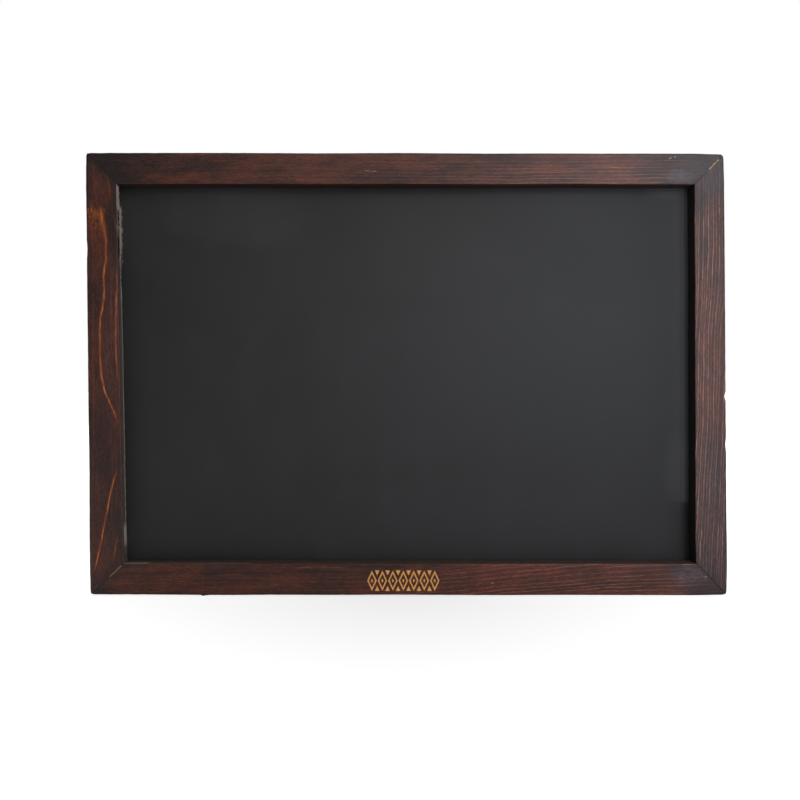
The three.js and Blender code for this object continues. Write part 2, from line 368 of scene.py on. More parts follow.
def carve(piece: Piece, cutter: BMesh, materials: Sequence[Material] = ()) -> None:
    """Cuts a shape out of a piece.

    Args:
        piece: the piece, which is changed.
        cutter: a closed shape. It is freed.
        materials: the cutter's materials, which the cut's walls take.
    """
    tool = make_piece(cutter, "cutter", materials)
    made = piece.modifiers.new("carve", "BOOLEAN")
    made.operation = "DIFFERENCE"
    made.solver = "EXACT"
    made.material_mode = "TRANSFER" if materials else "INDEX"
    made.object = tool
    graph = bpy.context.evaluated_depsgraph_get()
    result = bpy.data.meshes.new_from_object(piece.evaluated_get(graph))
    piece.modifiers.clear()
    old, piece.data = piece.data, result
    spent = tool.data
    bpy.data.objects.remove(tool)
    for mesh in (old, spent):
        bpy.data.meshes.remove(mesh)
    result.name = piece.name
    shade(result, SMOOTH_BELOW)


def plate(shape: BMesh, outline: Sequence[tuple[float, float]], low: float, high: float) -> None:
    """Adds a flat plate to a shape, upright in the plane of X and Z.

    Args:
        shape: the shape that gets the plate.
        outline: its corners as (x, z), in metres.
        low: where it begins along Y.
        high: where it ends.
    """
    corners = [shape.verts.new((x, low, z)) for x, z in outline]
    raised = grow(shape, [shape.faces.new(corners)], (0.0, high - low, 0.0))
    faces = {face for vertex in corners + raised for face in vertex.link_faces}
    bmesh.ops.recalc_face_normals(shape, faces=list(faces))


def turned(profile: Sequence[tuple[float, float]], steps: int, centre: Vector) -> BMesh:
    """Turns a profile round an axis along Y into a closed solid.

    Args:
        profile: (radius, y) points in metres, from one end of the axis to the other.
        steps: faces round the axis.
        centre: where the axis runs.

    Returns:
        The solid.
    """
    shape = bmesh.new()
    points = [shape.verts.new((radius, y, 0.0)) for radius, y in profile]
    edges = [shape.edges.new(pair) for pair in zip(points, points[1:])]
    bmesh.ops.spin(shape, geom=points + edges, cent=(0, 0, 0), axis=(0, 1, 0), angle=math.tau,
                   steps=steps, use_merge=True)
    bmesh.ops.remove_doubles(shape, verts=shape.verts, dist=SAME_POINT)
    outward(shape)
    move(shape, centre)
    return shape


def shoulder(inner: float, outer: float, low: float, high: float, steps: int) -> list[tuple[float, float]]:
    """A quarter of an ellipse as (radius, y) points, from (outer, low) in to (inner, high)."""
    angles = [step / steps * math.pi / 2 for step in range(steps + 1)]
    wide, tall = outer - inner, high - low
    return [(inner + wide * math.cos(angle), low + tall * math.sin(angle)) for angle in angles]


def box_middle(low: Vector, high: Vector) -> Vector:
    """The middle of a box along X and Z, at y = 0."""
    return Vector(((low.x + high.x) / 2, 0.0, (low.z + high.z) / 2))


def register(piece: Piece, body: str, slot: str, *nodes: str) -> None:
    """Lets a piece ride on a body and stand for its nodes."""
    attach(piece, body)
    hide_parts(*nodes)
    LOG.info("%s: %d faces, rides on %s", piece.name, len(piece.data.polygons), body)


class Side(Enum):
    """The four rails, each with the turn round Y, in degrees, that brings a blank to its place."""

    BOTTOM = 0.0
    TOP = 180.0
    LEFT = 90.0
    RIGHT = -90.0

    @property
    def upright(self) -> bool:
        """Whether the rail is a stile."""
        return self in (Side.LEFT, Side.RIGHT)

    @property
    def node(self) -> str:
        """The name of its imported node."""
        return f"{self.name.lower()}_{'stile' if self.upright else 'rail'}"

    @property
    def flipped(self) -> bool:
        """Whether its own length runs against the board's, from right to left or downwards."""
        return self in (Side.TOP, Side.LEFT)

    def measure(self, x: Value, z: Value) -> tuple[Value, Value]:
        """A place on the front as (along the rail, in from its packed outer edge), in millimetres."""
        half, height = FRAME.high.x / MM, FRAME.high.z / MM
        across = {
            Side.LEFT: lambda: x + half,
            Side.RIGHT: lambda: half - x,
            Side.BOTTOM: lambda: z,
            Side.TOP: lambda: height - z,
        }[self]
        return z if self.upright else x + half, across()


@dataclass(frozen=True)
class Frame:
    """Sizes that the four rails share, in metres."""

    width: float = 32 * MM
    land: float = 24 * MM
    sight_depth: float = 14 * MM
    outer_radius: float = 1.3 * MM
    sight_radius: float = 0.8 * MM
    low: Vector = field(default_factory=lambda: CAD_BOX[0].copy())
    high: Vector = field(default_factory=lambda: CAD_BOX[1].copy())

    @property
    def front(self) -> float:
        """Y of the rails' front."""
        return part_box("left_stile")[0].y

    @property
    def back(self) -> float:
        """Y of the rails' back."""
        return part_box("left_stile")[1].y


FRAME = Frame()


@dataclass(frozen=True)
class Place:
    """Where the shaded point lies on its rail, in millimetres.

    It is measured along the rail, in from its packed outer edge, and behind its front.
    """

    shader: Shader
    along: Wire
    across: Wire
    depth: Wire

    @classmethod
    def on(cls, shader: Shader, side: Side) -> Place:
        """The shaded point's place on the rail of a side."""
        x, y, z = shader.place()
        return cls(shader, *side.measure(x, z), y - FRAME.front / MM)

    def noise(self, run: float, wide: float, third: Value, **how: float) -> Wire:
        """Noise with so many cells a millimetre along the rail and across it."""
        return self.shader.noise((self.along * run, self.across * wide, third), **how)


@dataclass(frozen=True)
class Vein:
    """A bright line of latewood: (along the rail, from its outer edge) points, in millimetres."""

    points: Points
    width: float
    strength: float = 1.0

    def masks(self, place: Place, quiver: Wire) -> tuple[Wire, Wire]:
        """The vein's core and the glow beside it."""
        start, end = min(self.points)[0], max(self.points)[0]
        inside = place.along.step(start - 2, start + 12) * place.along.step(end + 2, end - 12)
        offset = place.across - place.along.curve(sorted(self.points)) + quiver
        core = abs(offset).step(self.width * 0.85, self.width * 0.05)
        glow = offset.step(-2.6, -0.2) * offset.step(1.8, 0.2)
        full = inside * self.strength
        return core * full, glow * full


@dataclass(frozen=True)
class Mark:
    """A small chip, scratch or dot: its middle, its half lengths and its lean, in millimetres."""

    along: float
    across: float
    half_length: float
    half_width: float
    lean: float = 0.0
    dark: bool = False
    strength: float = 0.9

    def mask(self, place: Place, rough: Wire) -> Wire:
        """A small ragged ellipse."""
        run = place.along - self.along
        side = place.across - self.across - run * self.lean
        reach = oval(run, self.half_length, side, self.half_width) + (rough - 0.5) * 2.4
        return reach.step(1.3, 0.5) * self.strength


@dataclass(frozen=True)
class Veil:
    """A soft ellipse over a surface: its middle and half lengths in millimetres, and its share. A dark one
    is stain; a pale one is a painted sheen on the wood, and mostly painted light that lifts shade on the
    panel.
    """

    along: float
    across: float
    half_length: float
    half_width: float
    share: float
    dark: bool = False

    def reach(self, along: Wire, across: Wire) -> Wire:
        """The square of how far out a place lies in it."""
        return oval(along - self.along, self.half_length, across - self.across, self.half_width)

    def on_wood(self, place: Place, fibre: Wire) -> Wire:
        """The veil's share on a rail. It shows most on the raised fibres."""
        ragged = place.noise(0.16, 0.16, 6.0, detail=5.0, rough=0.7)
        reach = self.reach(place.along, place.across) + (ragged - 0.5) * 1.6
        return reach.step(1.1, 0.0) * fibre.step(0.34, 0.62, 0.35 * self.share, 1.6 * self.share)

    def on_panel(self, x: Wire, z: Wire) -> Wire:
        """The share of pale colour that it lays on the panel, with soft and uneven edges."""
        uneven = x.shader.noise((x, z, self.along), scale=0.03, detail=4.0)
        return (self.reach(x, z) + (uneven - 0.5)).step(1.4, 0.0, 0.0, self.share)


@dataclass(frozen=True)
class Grain:
    """How the grain of one rail runs, in millimetres along it and from its outer edge."""

    seed: float
    crisp: float = 0.17
    drift: Points = ((0, 0), (650, 0))
    lines: Points = ()
    line_width: float = 0.75
    line_share: float = 0.6
    line_fade: Points = ((0, 1), (650, 1))
    tone: Points = ((0, 0.5), (650, 0.5))
    patchy: float = 1.0
    streaky: float = 1.0
    veins: tuple[Vein, ...] = ()
    knot: tuple[float, float] | None = None
    marks: tuple[Mark, ...] = ()
    # Dark veils are stain; pale ones are a painted sheen.
    veils: tuple[Veil, ...] = ()
    slant: float = 0.35
    soaked: tuple[float, float] = (30.0, 30.0)

    def ring_lines(self, rings: Place) -> Wire:
        """The bright lines that run the whole length, fading in and out."""
        total: Value = 0.0
        for where, strength in self.lines:
            offset = rings.across - where
            rise = offset.step(-2.2 * self.line_width, 0.0)
            fall = offset.step(0.0, self.line_width * 0.8, 1.0, 0.0)
            total = rings.shader.either(total, rise ** 3.0 * fall * strength)
        fade = rings.noise(0.03, 0.22, self.seed, detail=3.0).step(0.34, 0.6, 0.3, 1.0)
        return total * fade * rings.along.curve(self.line_fade)

    def knot_masks(self, place: Place) -> tuple[Wire, Wire, Wire]:
        """A ragged orange patch where a branch left the wood: its glow, bright threads and dark specks."""
        up, out = self.knot
        flame = place.noise(0.1, 0.6, self.seed, detail=5.0, rough=0.7)
        climb = place.along - up + (place.across - out) * 0.35 + (flame - 0.5) * 34
        reach = place.across + (flame - 0.5) * 8
        glow = climb.step(1.5, -1.5) * climb.step(-46.0, -10.0) * reach.step(out + 1.5, out - 1.5)
        grit = place.noise(0.28, 0.55, 9.0, detail=5.0, rough=0.7)
        rim = glow * (climb.step(-12.0, -1.0) * grit.step(0.44, 0.56))
        patches = climb.step(-30.0, -8.0, 0.04, 0.22) * grit.step(0.47, 0.6)
        bright = place.shader.either(rim * 0.42, glow * patches)
        dark = glow * grit.step(0.43, 0.35) * climb.step(-4.0, -14.0)
        glow = glow * climb.step(-36.0, -4.0, 0.35, 1.0)
        return glow * grit.step(0.3, 0.62, 0.25, 0.85), bright, dark


@dataclass(frozen=True)
class PineStain:
    """Dark stain on pine: dark earlywood, with latewood lines that took less of it."""

    dark: Colour = srgb(47, 32, 29)
    red: Colour = srgb(100, 50, 36)
    line: Colour = srgb(190, 128, 108)
    vein: Colour = srgb(226, 122, 44)
    halo: Colour = srgb(124, 54, 24)
    soaked: Colour = srgb(40, 32, 33)
    dust: Colour = srgb(150, 132, 122)
    # Pale veil colour: a painted sheen of the lamps on the satin stain, mostly at the right-hand corners.
    bloom_and_painted_sheen: Colour = srgb(138, 129, 138)
    raw: Colour = srgb(206, 164, 112)
    ring: Colour = srgb(164, 104, 56)
    chip: Colour = srgb(214, 168, 124)
    pit: Colour = srgb(16, 11, 10)
    roughness: float = 0.38

    def build(self, rail: Rail) -> Material:
        """The material of one rail.

        Args:
            rail: the rail, with its grain.

        Returns:
            The material.
        """
        grain = rail.grain
        shader = Shader(f"stained_pine_{rail.side.name.lower()}")
        place = Place.on(shader, rail.side)
        along, across, depth = place.along, place.across, place.depth
        seed = grain.seed * 13.7
        slow, ripple = place.noise(0.011, 0.04, seed), place.noise(0.045, 0.1, seed + 1)
        wobble = (slow - 0.5) * 5.0 + (ripple - 0.5) * 1.5
        rings = replace(place, across=across - along.curve(grain.drift) + wobble + depth * grain.slant)

        fibre = rings.noise(0.15, 1.3, seed, detail=6.0, rough=0.72)
        strand = rings.noise(0.035, 0.5, seed + 11, detail=5.0, rough=0.68)
        band = rings.noise(0.012, 0.2, seed + 3, detail=3.0, rough=0.55)
        pores = rings.noise(0.16, 1.3, seed + 5, detail=3.0, rough=0.6)
        grit = place.noise(0.75, 1.1, seed, detail=3.0, rough=0.65)
        patch = place.noise(0.02, 0.05, seed + 7, detail=5.0, rough=0.62, distortion=0.5)
        tone = along.curve(grain.tone)
        tone = tone + (patch - 0.5) * (1.6 * grain.patchy)
        tone = tone + (band - 0.5) * (1.2 * grain.streaky)
        colour = shader.mix(tone.step(0.0, 1.0), self.dark, self.red)
        crisp = strand.step(0.28, 0.72, 1 - grain.crisp, 1 + grain.crisp)
        for level in (fibre.step(0.28, 0.72, 0.52, 1.52), crisp, grit.step(0.3, 0.7, 0.66, 1.34)):
            colour = shader.scale(colour, level)

        lines = grain.ring_lines(rings)
        threads = fibre.step(0.36, 0.58, 0.45, 1.0)
        dashes = threads * pores.step(0.38, 0.58, 0.5, 1.25)
        colour = shader.mix(lines * dashes * grain.line_share, colour, self.line)

        quiver = shader.noise((along * 0.1, seed + 2), detail=6.0, rough=0.72)
        quiver = (quiver - 0.5) * 2.6
        veins: Value = 0.0
        glows: Value = 0.0
        for vein in grain.veins:
            core, glow = vein.masks(place, quiver)
            veins = shader.either(veins, core)
            glows = shader.either(glows, glow * 0.75)
        veins = veins * place.noise(0.07, 0.4, seed + 4, detail=5.0).step(0.38, 0.66, 0.28, 1.0)
        pits: Value = 0.0
        if grain.knot is not None:
            knot, core, pits = grain.knot_masks(place)
            glows = shader.either(glows, knot)
            veins = shader.either(veins, core)
        for share, over in ((glows * 0.7, self.halo), (veins * threads, self.vein), (pits * 0.8, self.pit)):
            colour = shader.mix(share, colour, over)

        pinholes = pores.step(0.68, 0.76)
        colour = shader.scale(colour, 1.0 - pinholes * 0.55)
        colour = self.soak(place, fibre, colour, rail)
        # Dark veils are stain; pale ones are a painted sheen of the lamps.
        for veil in grain.veils:
            over = self.soaked if veil.dark else self.bloom_and_painted_sheen
            colour = shader.mix(veil.on_wood(place, fibre), colour, over)
        rough = place.noise(0.7, 1.1, seed, detail=3.0)
        colour = self.mitre_wear(rough, colour, rail)
        for mark in grain.marks:
            colour = shader.mix(mark.mask(place, rough), colour, self.pit if mark.dark else self.chip)
        dots = shader.spots((along, across, seed), 0.07, 0.035, 0.06)
        colour = shader.mix(dots * 0.5, colour, self.dust)
        colour = self.bare_back(place, rings, fibre, colour)
        # The outer edge and the sides are darker: partly stain, partly painted shade where the rounded edge
        # turns away from the lamps.
        rim = shader.either(depth.step(0.1, 0.7), across.step(1.3, 0.5)) * depth.step(18.6, 18.0)
        colour = shader.scale(colour, 1.0 - rim * 0.4)

        roughness = self.roughness + (fibre - 0.5) * 0.3
        relief = shader.bump(lines - pinholes, 0.1, shader.bump(fibre, 0.16))
        return shader.finish(colour, roughness, relief, ior=1.46)

    def soak(self, place: Place, fibre: Wire, colour: Wire, rail: Rail) -> Wire:
        """The end grain at the mitres drank more stain, and is nearly black."""
        shader = place.shader
        start, end = rail.grain.soaked
        near = place.along - place.across - start
        far = rail.length / MM - place.along - place.across - end
        ragged = place.noise(0.04, 0.14, 2.0, detail=4.0) - 0.5 + (fibre - 0.5) * 0.4
        soak = (shader.math("MINIMUM", near, far) + ragged * 36).step(8.0, -16.0)
        return shader.mix(soak * 0.66, colour, self.soaked)

    def mitre_wear(self, rough: Wire, colour: Wire, rail: Rail) -> Wire:
        """Cracks along the mitres, and raw wood along their worn parts."""
        shader = rough.shader
        x, _, z = shader.place()
        for corner in rail.corners:
            point, across = corner.plane()
            along = Vector((across.z, 0.0, -across.x))
            inner = Vector((corner.inner[0], 0.0, corner.inner[1])) * MM
            along = along if (inner - point).dot(along) > 0 else -along
            run_x, run_z = x - corner.outer[0], z - corner.outer[1]
            run = run_x * along.x + run_z * along.z
            off = run_x * across.x + run_z * across.z
            colour = shader.mix(abs(off).step(0.65, 0.2) * corner.crack, colour, self.pit)
            ragged = abs(off) + (rough - 0.5) * 2.6
            for start, end, width, strength in corner.raw:
                near = ragged.step(width, width * 0.4)
                colour = shader.mix(near * run.within(start, end, 1) * strength, colour, self.chip)
        return colour

    def bare_back(self, place: Place, rings: Place, fibre: Wire, colour: Wire) -> Wire:
        """Bare pine on the back, where the stain only laps over the edges."""
        shader, across, depth = place.shader, place.across, place.depth
        back, land, sight = (FRAME.back - FRAME.front) / MM, FRAME.land / MM, FRAME.sight_depth / MM
        reach = across + (place.noise(0.03, 0.2, 4.0, detail=4.0) - 0.5) * 9
        on_back = depth.step(back - 1.4, back - 0.5) * reach.step(1.5, 4.5)
        rabbet = across.step(land - 0.4, land - 0.1) * depth.step(sight - 0.6, sight - 0.2)
        cycle = shader.math("FRACT", rings.across * 0.31)
        late = cycle.step(0.35, 0.92) * cycle.step(1.0, 0.93)
        pine = shader.mix(late * 0.75, self.raw, self.ring)
        pine = shader.scale(pine, fibre.step(0.2, 0.8, 0.86, 1.1))
        return shader.mix(shader.either(on_back, rabbet), colour, pine)


@dataclass(frozen=True)
class SightWall:
    """The inner wall of a rail, between its front and the panel.

    Each scrape runs from a place to a place along the wall and from a depth to a depth, all in
    millimetres, and ends with its strength. Black flakes of paint lie in zones given the same way.
    """

    stain: Colour
    dust: Colour = srgb(96, 84, 77)
    dusty: float = 0.0
    bare: Colour = srgb(178, 166, 152)
    flake: Colour = srgb(12, 11, 11)
    lap: Colour = srgb(20, 19, 19)
    scrapes: tuple[tuple[float, float, float, float, float], ...] = ()
    flakes: tuple[tuple[float, float, float, float], ...] = ()
    paint: float = 12.6
    laps: float = 8.0

    def build(self, rail: Rail) -> Material:
        """The wall's material: stain, rubbed-off dust, scrapes and laps of black paint at the panel.

        Args:
            rail: the rail that has the wall.

        Returns:
            The material.
        """
        shader = Shader(f"sight_wall_{rail.side.name.lower()}")
        place = Place.on(shader, rail.side)
        along, depth = place.along, place.depth
        wall = replace(place, across=depth)
        fibre = wall.noise(0.06, 1.2, place.across * 0.3, detail=4.0, rough=0.6)
        colour = shader.scale(self.stain, fibre.step(0.25, 0.75, 0.6, 1.45))
        rubbed = wall.noise(0.12, 0.4, 3.0, detail=5.0, rough=0.65)
        cover = shader.math("MULTIPLY", self.dusty, rubbed.step(0.36, 0.6, 0.25, 1.0), clamp=True)
        colour = shader.mix(cover * depth.step(1.0, 10.0, 0.55, 1.0), colour, self.dust)
        shift = wall.noise(0.25, 0.3, 6.0, detail=5.0, rough=0.7) - 0.5
        for start, end, shallow, deep, strength in self.scrapes:
            run, level = along + shift * 16.0, depth + shift * 3.0
            inside = run.within(start, end, 4) * level.within(shallow, deep, 0.7)
            inside = inside * rubbed.step(0.32, 0.6, 0.5, 1.0)
            colour = shader.mix(inside * strength, colour, self.bare)
        chips = wall.noise(0.34, 0.16, 5.0, detail=5.0, rough=0.7)
        for start, end, shallow, deep in self.flakes:
            inside = along.within(start, end, 3) * depth.within(shallow, deep, 1)
            colour = shader.mix(inside * chips.step(0.44, 0.48), colour, self.flake)
        edge = depth + (wall.noise(0.5, 0.4, 8.0, detail=4.0, rough=0.7) - 0.5) * self.laps
        colour = shader.mix(edge.step(self.paint, self.paint + 0.6), colour, self.lap)
        return shader.finish(colour, 0.62, shader.bump(fibre, 0.12), ior=1.45)


@dataclass(frozen=True)
class Corner:
    """Where one mitre runs on the front: (x, z) of its two ends, in millimetres.

    The frame is a little out of true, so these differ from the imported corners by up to 3 mm.
    """

    outer: tuple[float, float]
    inner: tuple[float, float]
    wear: float = 1.3
    gap: float = 0.1
    crack: float = 0.3
    raw: tuple[tuple[float, float, float, float], ...] = ()

    def plane(self) -> tuple[Vector, Vector]:
        """A point on the mitre's plane, in metres, and a unit vector across it towards the stile's side."""
        start = Vector((self.outer[0], 0.0, self.outer[1])) * MM
        run = (Vector((self.inner[0], 0.0, self.inner[1])) * MM - start).normalized()
        across = Vector((run.z, 0.0, -run.x))
        middle = Vector((0.0, 0.0, FRAME.high.z / 2)) - start
        to_stile = Vector((0.0, 0.0, middle.z))
        return start, across if across.dot(to_stile) > 0 else -across


TOP_LEFT = Corner((-326.6, 450.3), (-295.2, 418.2), wear=1.2, gap=0.02)
TOP_RIGHT = Corner((323.1, 449.2), (292.6, 417.6), wear=2.6, gap=0.08, crack=0.85,
                   raw=((9.0, 23.0, 0.75, 0.85), (0.0, 4.0, 0.8, 0.5)))
BOTTOM_LEFT = Corner((-322.1, 0.3), (-287.8, 32.0), wear=1.0, gap=0.03, crack=0.4,
                     raw=((27.0, 44.0, 0.8, 0.36),))
BOTTOM_RIGHT = Corner((326.1, -0.2), (295.0, 32.0), wear=1.8, gap=0.10, crack=0.85)


@dataclass
class Rail:
    """One mitred and rabbeted rail, with the small unevenness of a hand-finished one."""

    side: Side
    grain: Grain
    wall: SightWall
    sight: Points = ()
    dents: tuple[tuple[float, float, float], ...] = ()
    segment: float = 2.5 * MM
    face_rows: int = 9
    face_lift: float = 0.1 * MM
    worn_tip: float = 4.5
    worn_run: float = 28.0
    weld: float = 0.02 * MM

    @property
    def corners(self) -> tuple[Corner, Corner]:
        """Its two corners, from left to right or upwards."""
        return {
            Side.LEFT: (BOTTOM_LEFT, TOP_LEFT),
            Side.RIGHT: (BOTTOM_RIGHT, TOP_RIGHT),
            Side.BOTTOM: (BOTTOM_LEFT, BOTTOM_RIGHT),
            Side.TOP: (TOP_LEFT, TOP_RIGHT),
        }[self.side]

    @property
    def length(self) -> float:
        """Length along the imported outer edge, in metres."""
        return FRAME.high.z if self.side.upright else FRAME.high.x - FRAME.low.x

    def along_board(self, x: float) -> float:
        """Millimetres from the board's left or bottom edge, of a place along the rail's own length."""
        return (self.length / 2 - x if self.side.flipped else self.length / 2 + x) / MM

    def wave(self, place: float, slow: float, quick: float, seed: float) -> float:
        """Unevenness of an edge, in millimetres.

        Args:
            place: where along the board, in millimetres.
            slow: the size of the long waves.
            quick: the size of the short ones.
            seed: what tells one edge from another.

        Returns:
            How far the edge stands in.
        """
        line = self.side.value + seed
        long_waves = noise.noise(Vector((place * 0.011, line, 0.0))) * slow
        return long_waves + noise.noise(Vector((place * 0.11, line, 5.0))) * quick

    def outer_shift(self, place: float) -> float:
        """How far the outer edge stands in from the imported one, in metres."""
        ends = [self.side.measure(*corner.outer) for corner in self.corners]
        shift = between(ends, place) + self.wave(place, 0.5, 0.16, 0.0)
        for where, depth, reach in self.dents:
            shift += depth * max(0.0, 1.0 - abs(place - where) / reach) ** 0.6
        for corner, (end, _) in zip(self.corners, ends):
            near = abs(place - end)
            tip, run = max(0.0, 1 - near / self.worn_tip), max(0.0, 1 - near / self.worn_run)
            shift += corner.wear * (tip ** 2 + 0.3 * run)
        return shift * MM

    def sight_shift(self, place: float) -> float:
        """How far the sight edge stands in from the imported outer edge, less the width, in metres."""
        ends = [self.side.measure(*corner.inner) for corner in self.corners]
        bow = between(self.sight, place) if self.sight else 0.0
        return (between(ends, place) + bow + self.wave(place, 0.35, 0.16, 40.0)) * MM - FRAME.width

    def blank(self) -> BMesh:
        """The rail's section, swept along its length, with its outer edge at z = 0."""
        shape = bmesh.new()
        thickness = FRAME.back - FRAME.front
        start = -self.length / 2 - FRAME.width
        section = (
            (0.0, 0.0, FRAME.outer_radius),
            (0.0, FRAME.width, FRAME.sight_radius),
            (FRAME.sight_depth, FRAME.width, 0.0),
            (FRAME.sight_depth, FRAME.land, 0.0),
            (thickness, FRAME.land, 0.0),
            (thickness, 0.0, FRAME.outer_radius),
        )
        corners = [shape.verts.new((start, y, z)) for y, z, _ in section]
        shape.faces.new(corners)
        front = next(edge for edge in shape.edges if set(edge.verts) == set(corners[:2]))
        bmesh.ops.subdivide_edges(shape, edges=[front], cuts=self.face_rows)
        for y, z, radius in section:
            if radius > 0:
                place = Vector((start, y, z))
                corner = min(shape.verts, key=lambda vertex: (vertex.co - place).length)
                bmesh.ops.bevel(shape, geom=[corner], offset=radius, segments=4, profile=0.5,
                                affect="VERTICES", material=-1)
        run = self.length + 2 * FRAME.width
        grow(shape, shape.faces[:], (run, 0.0, 0.0))
        outward(shape)
        long_edges = [edge for edge in shape.edges if edge.calc_length() > run / 2]
        bmesh.ops.subdivide_edges(shape, edges=long_edges, cuts=round(run / self.segment) - 1)
        for face in shape.faces:
            inner = face.normal.z > 0.7 and face.calc_center_median().y < FRAME.sight_depth
            face.material_index = 1 if inner else 0
        return shape

    def weather(self, shape: BMesh) -> None:
        """Moves the blank's edges in and out, and its face up and down, by small amounts."""
        for vertex in shape.verts:
            place = self.along_board(vertex.co.x)
            across = vertex.co.z
            inner = max(0.0, (across - FRAME.land) / (FRAME.width - FRAME.land))
            outer = max(0.0, 1 - across / FRAME.land)
            lift = noise.noise(Vector((place * 0.02, across / MM * 0.08, self.side.value)))
            vertex.co.z += self.outer_shift(place) * outer + self.sight_shift(place) * inner
            if vertex.co.y < FRAME.sight_depth / 2:
                vertex.co.y += lift * self.face_lift

    def mitre(self, shape: BMesh) -> None:
        """Cuts both ends along the mitres, once the rail stands at its place."""
        for corner in self.corners:
            point, to_stile = corner.plane()
            away = -to_stile if self.side.upright else to_stile
            point = point - away * corner.gap * MM
            cut = bmesh.ops.bisect_plane(shape, geom=shape.verts[:] + shape.edges[:] + shape.faces[:],
                                         dist=SAME_POINT, plane_co=point, plane_no=away, clear_outer=True)
            filled = bmesh.ops.holes_fill(shape, edges=only(BMEdge, cut["geom_cut"]), sides=0)
            for face in filled["faces"]:
                face.material_index = 0
        bmesh.ops.remove_doubles(shape, verts=shape.verts, dist=self.weld)
        outward(shape)

    def build(self) -> Piece:
        """The finished rail.

        Returns:
            The piece, at its place.
        """
        shape = self.blank()
        self.weather(shape)
        middle = {
            Side.BOTTOM: (0.0, FRAME.low.z),
            Side.TOP: (0.0, FRAME.high.z),
            Side.LEFT: (FRAME.low.x, FRAME.high.z / 2),
            Side.RIGHT: (FRAME.high.x, FRAME.high.z / 2),
        }[self.side]
        turn = Matrix.Rotation(math.radians(self.side.value), 4, "Y")
        move(shape, Matrix.Translation((middle[0], FRAME.front, middle[1])) @ turn)
        self.mitre(shape)
        stain = PineStain().build(self)
        return make_piece(shape, f"{self.side.node}_wood", (stain, self.wall.build(self)))


@dataclass(frozen=True)
class BurntPine:
    """Bare pine in an engraving, with walls scorched brown."""

    floor: Colour = srgb(255, 190, 106)
    scorch: Colour = srgb(120, 52, 22)

    def build(self) -> Material:
        """The engraving's material."""
        shader = Shader("burnt_pine")
        x, y, z = shader.place()
        fibre = shader.noise((x * 0.3, y, z * 2.2), detail=4.0)
        depth = y - FRAME.front / MM
        burn = depth.step(0.3, 0.16)
        colour = shader.scale(self.floor, fibre.step(0.25, 0.75, 0.72, 1.1))
        colour = shader.mix(burn * 0.85, colour, self.scorch)
        return shader.finish(colour, 0.6, shader.bump(fibre, 0.08), ior=1.45)


@dataclass
class LozengeBand:
    """A row of outlined lozenges engraved in the bottom rail."""

    centre_x: float = -3.4 * MM
    centre_z: float = 14.9 * MM
    width: float = 74.5 * MM
    height: float = 21.0 * MM
    count: int = 7
    stroke: float = 1.5 * MM
    depth: float = 0.45 * MM
    gap: float = 0.9 * MM

    def lozenge(self, shape: BMesh, x: float, half_width: float, half_height: float,
                hollow: bool) -> None:
        """Adds one lozenge prism, hollow or solid, that reaches the engraving's depth."""
        corners = ((0, -half_height), (half_width, 0), (0, half_height), (-half_width, 0))
        y = FRAME.front - self.depth
        face = shape.faces.new([shape.verts.new((x + dx, y, self.centre_z + dz)) for dx, dz in corners])
        face.normal_update()
        faces = [face]
        if hollow:
            rim = bmesh.ops.inset_region(shape, faces=[face], thickness=self.stroke, use_even_offset=True,
                                         use_boundary=True)
            bmesh.ops.delete(shape, geom=[face], context="FACES")
            faces = rim["faces"]
        grow(shape, faces, (0.0, 2 * self.depth, 0.0))

    def engrave(self, rail: Piece) -> None:
        """Cuts the band into the front of the bottom rail."""
        shape = bmesh.new()
        pitch = self.width / self.count
        half = pitch / 2 - self.gap / 2
        for index in range(self.count):
            x = self.centre_x + (index - (self.count - 1) / 2) * pitch
            self.lozenge(shape, x, half, self.height / 2, hollow=True)
            self.lozenge(shape, x, half * 0.24, self.height * 0.11, hollow=False)
            if index:
                for sign in (-1, 1):
                    self.wedge(shape, x - pitch / 2, sign, half * 0.5)
        outward(shape)
        carve(rail, shape, (BurntPine().build(),))

    def wedge(self, shape: BMesh, x: float, sign: int, half_width: float) -> None:
        """Adds a small triangle between two lozenges, above or below their waists."""
        rim = self.centre_z + sign * self.height / 2
        tip = self.centre_z + sign * self.height * 0.24
        points = [(x - half_width, rim), (x + half_width, rim), (x, tip)]
        plate(shape, points, FRAME.front - self.depth, FRAME.front + self.depth)


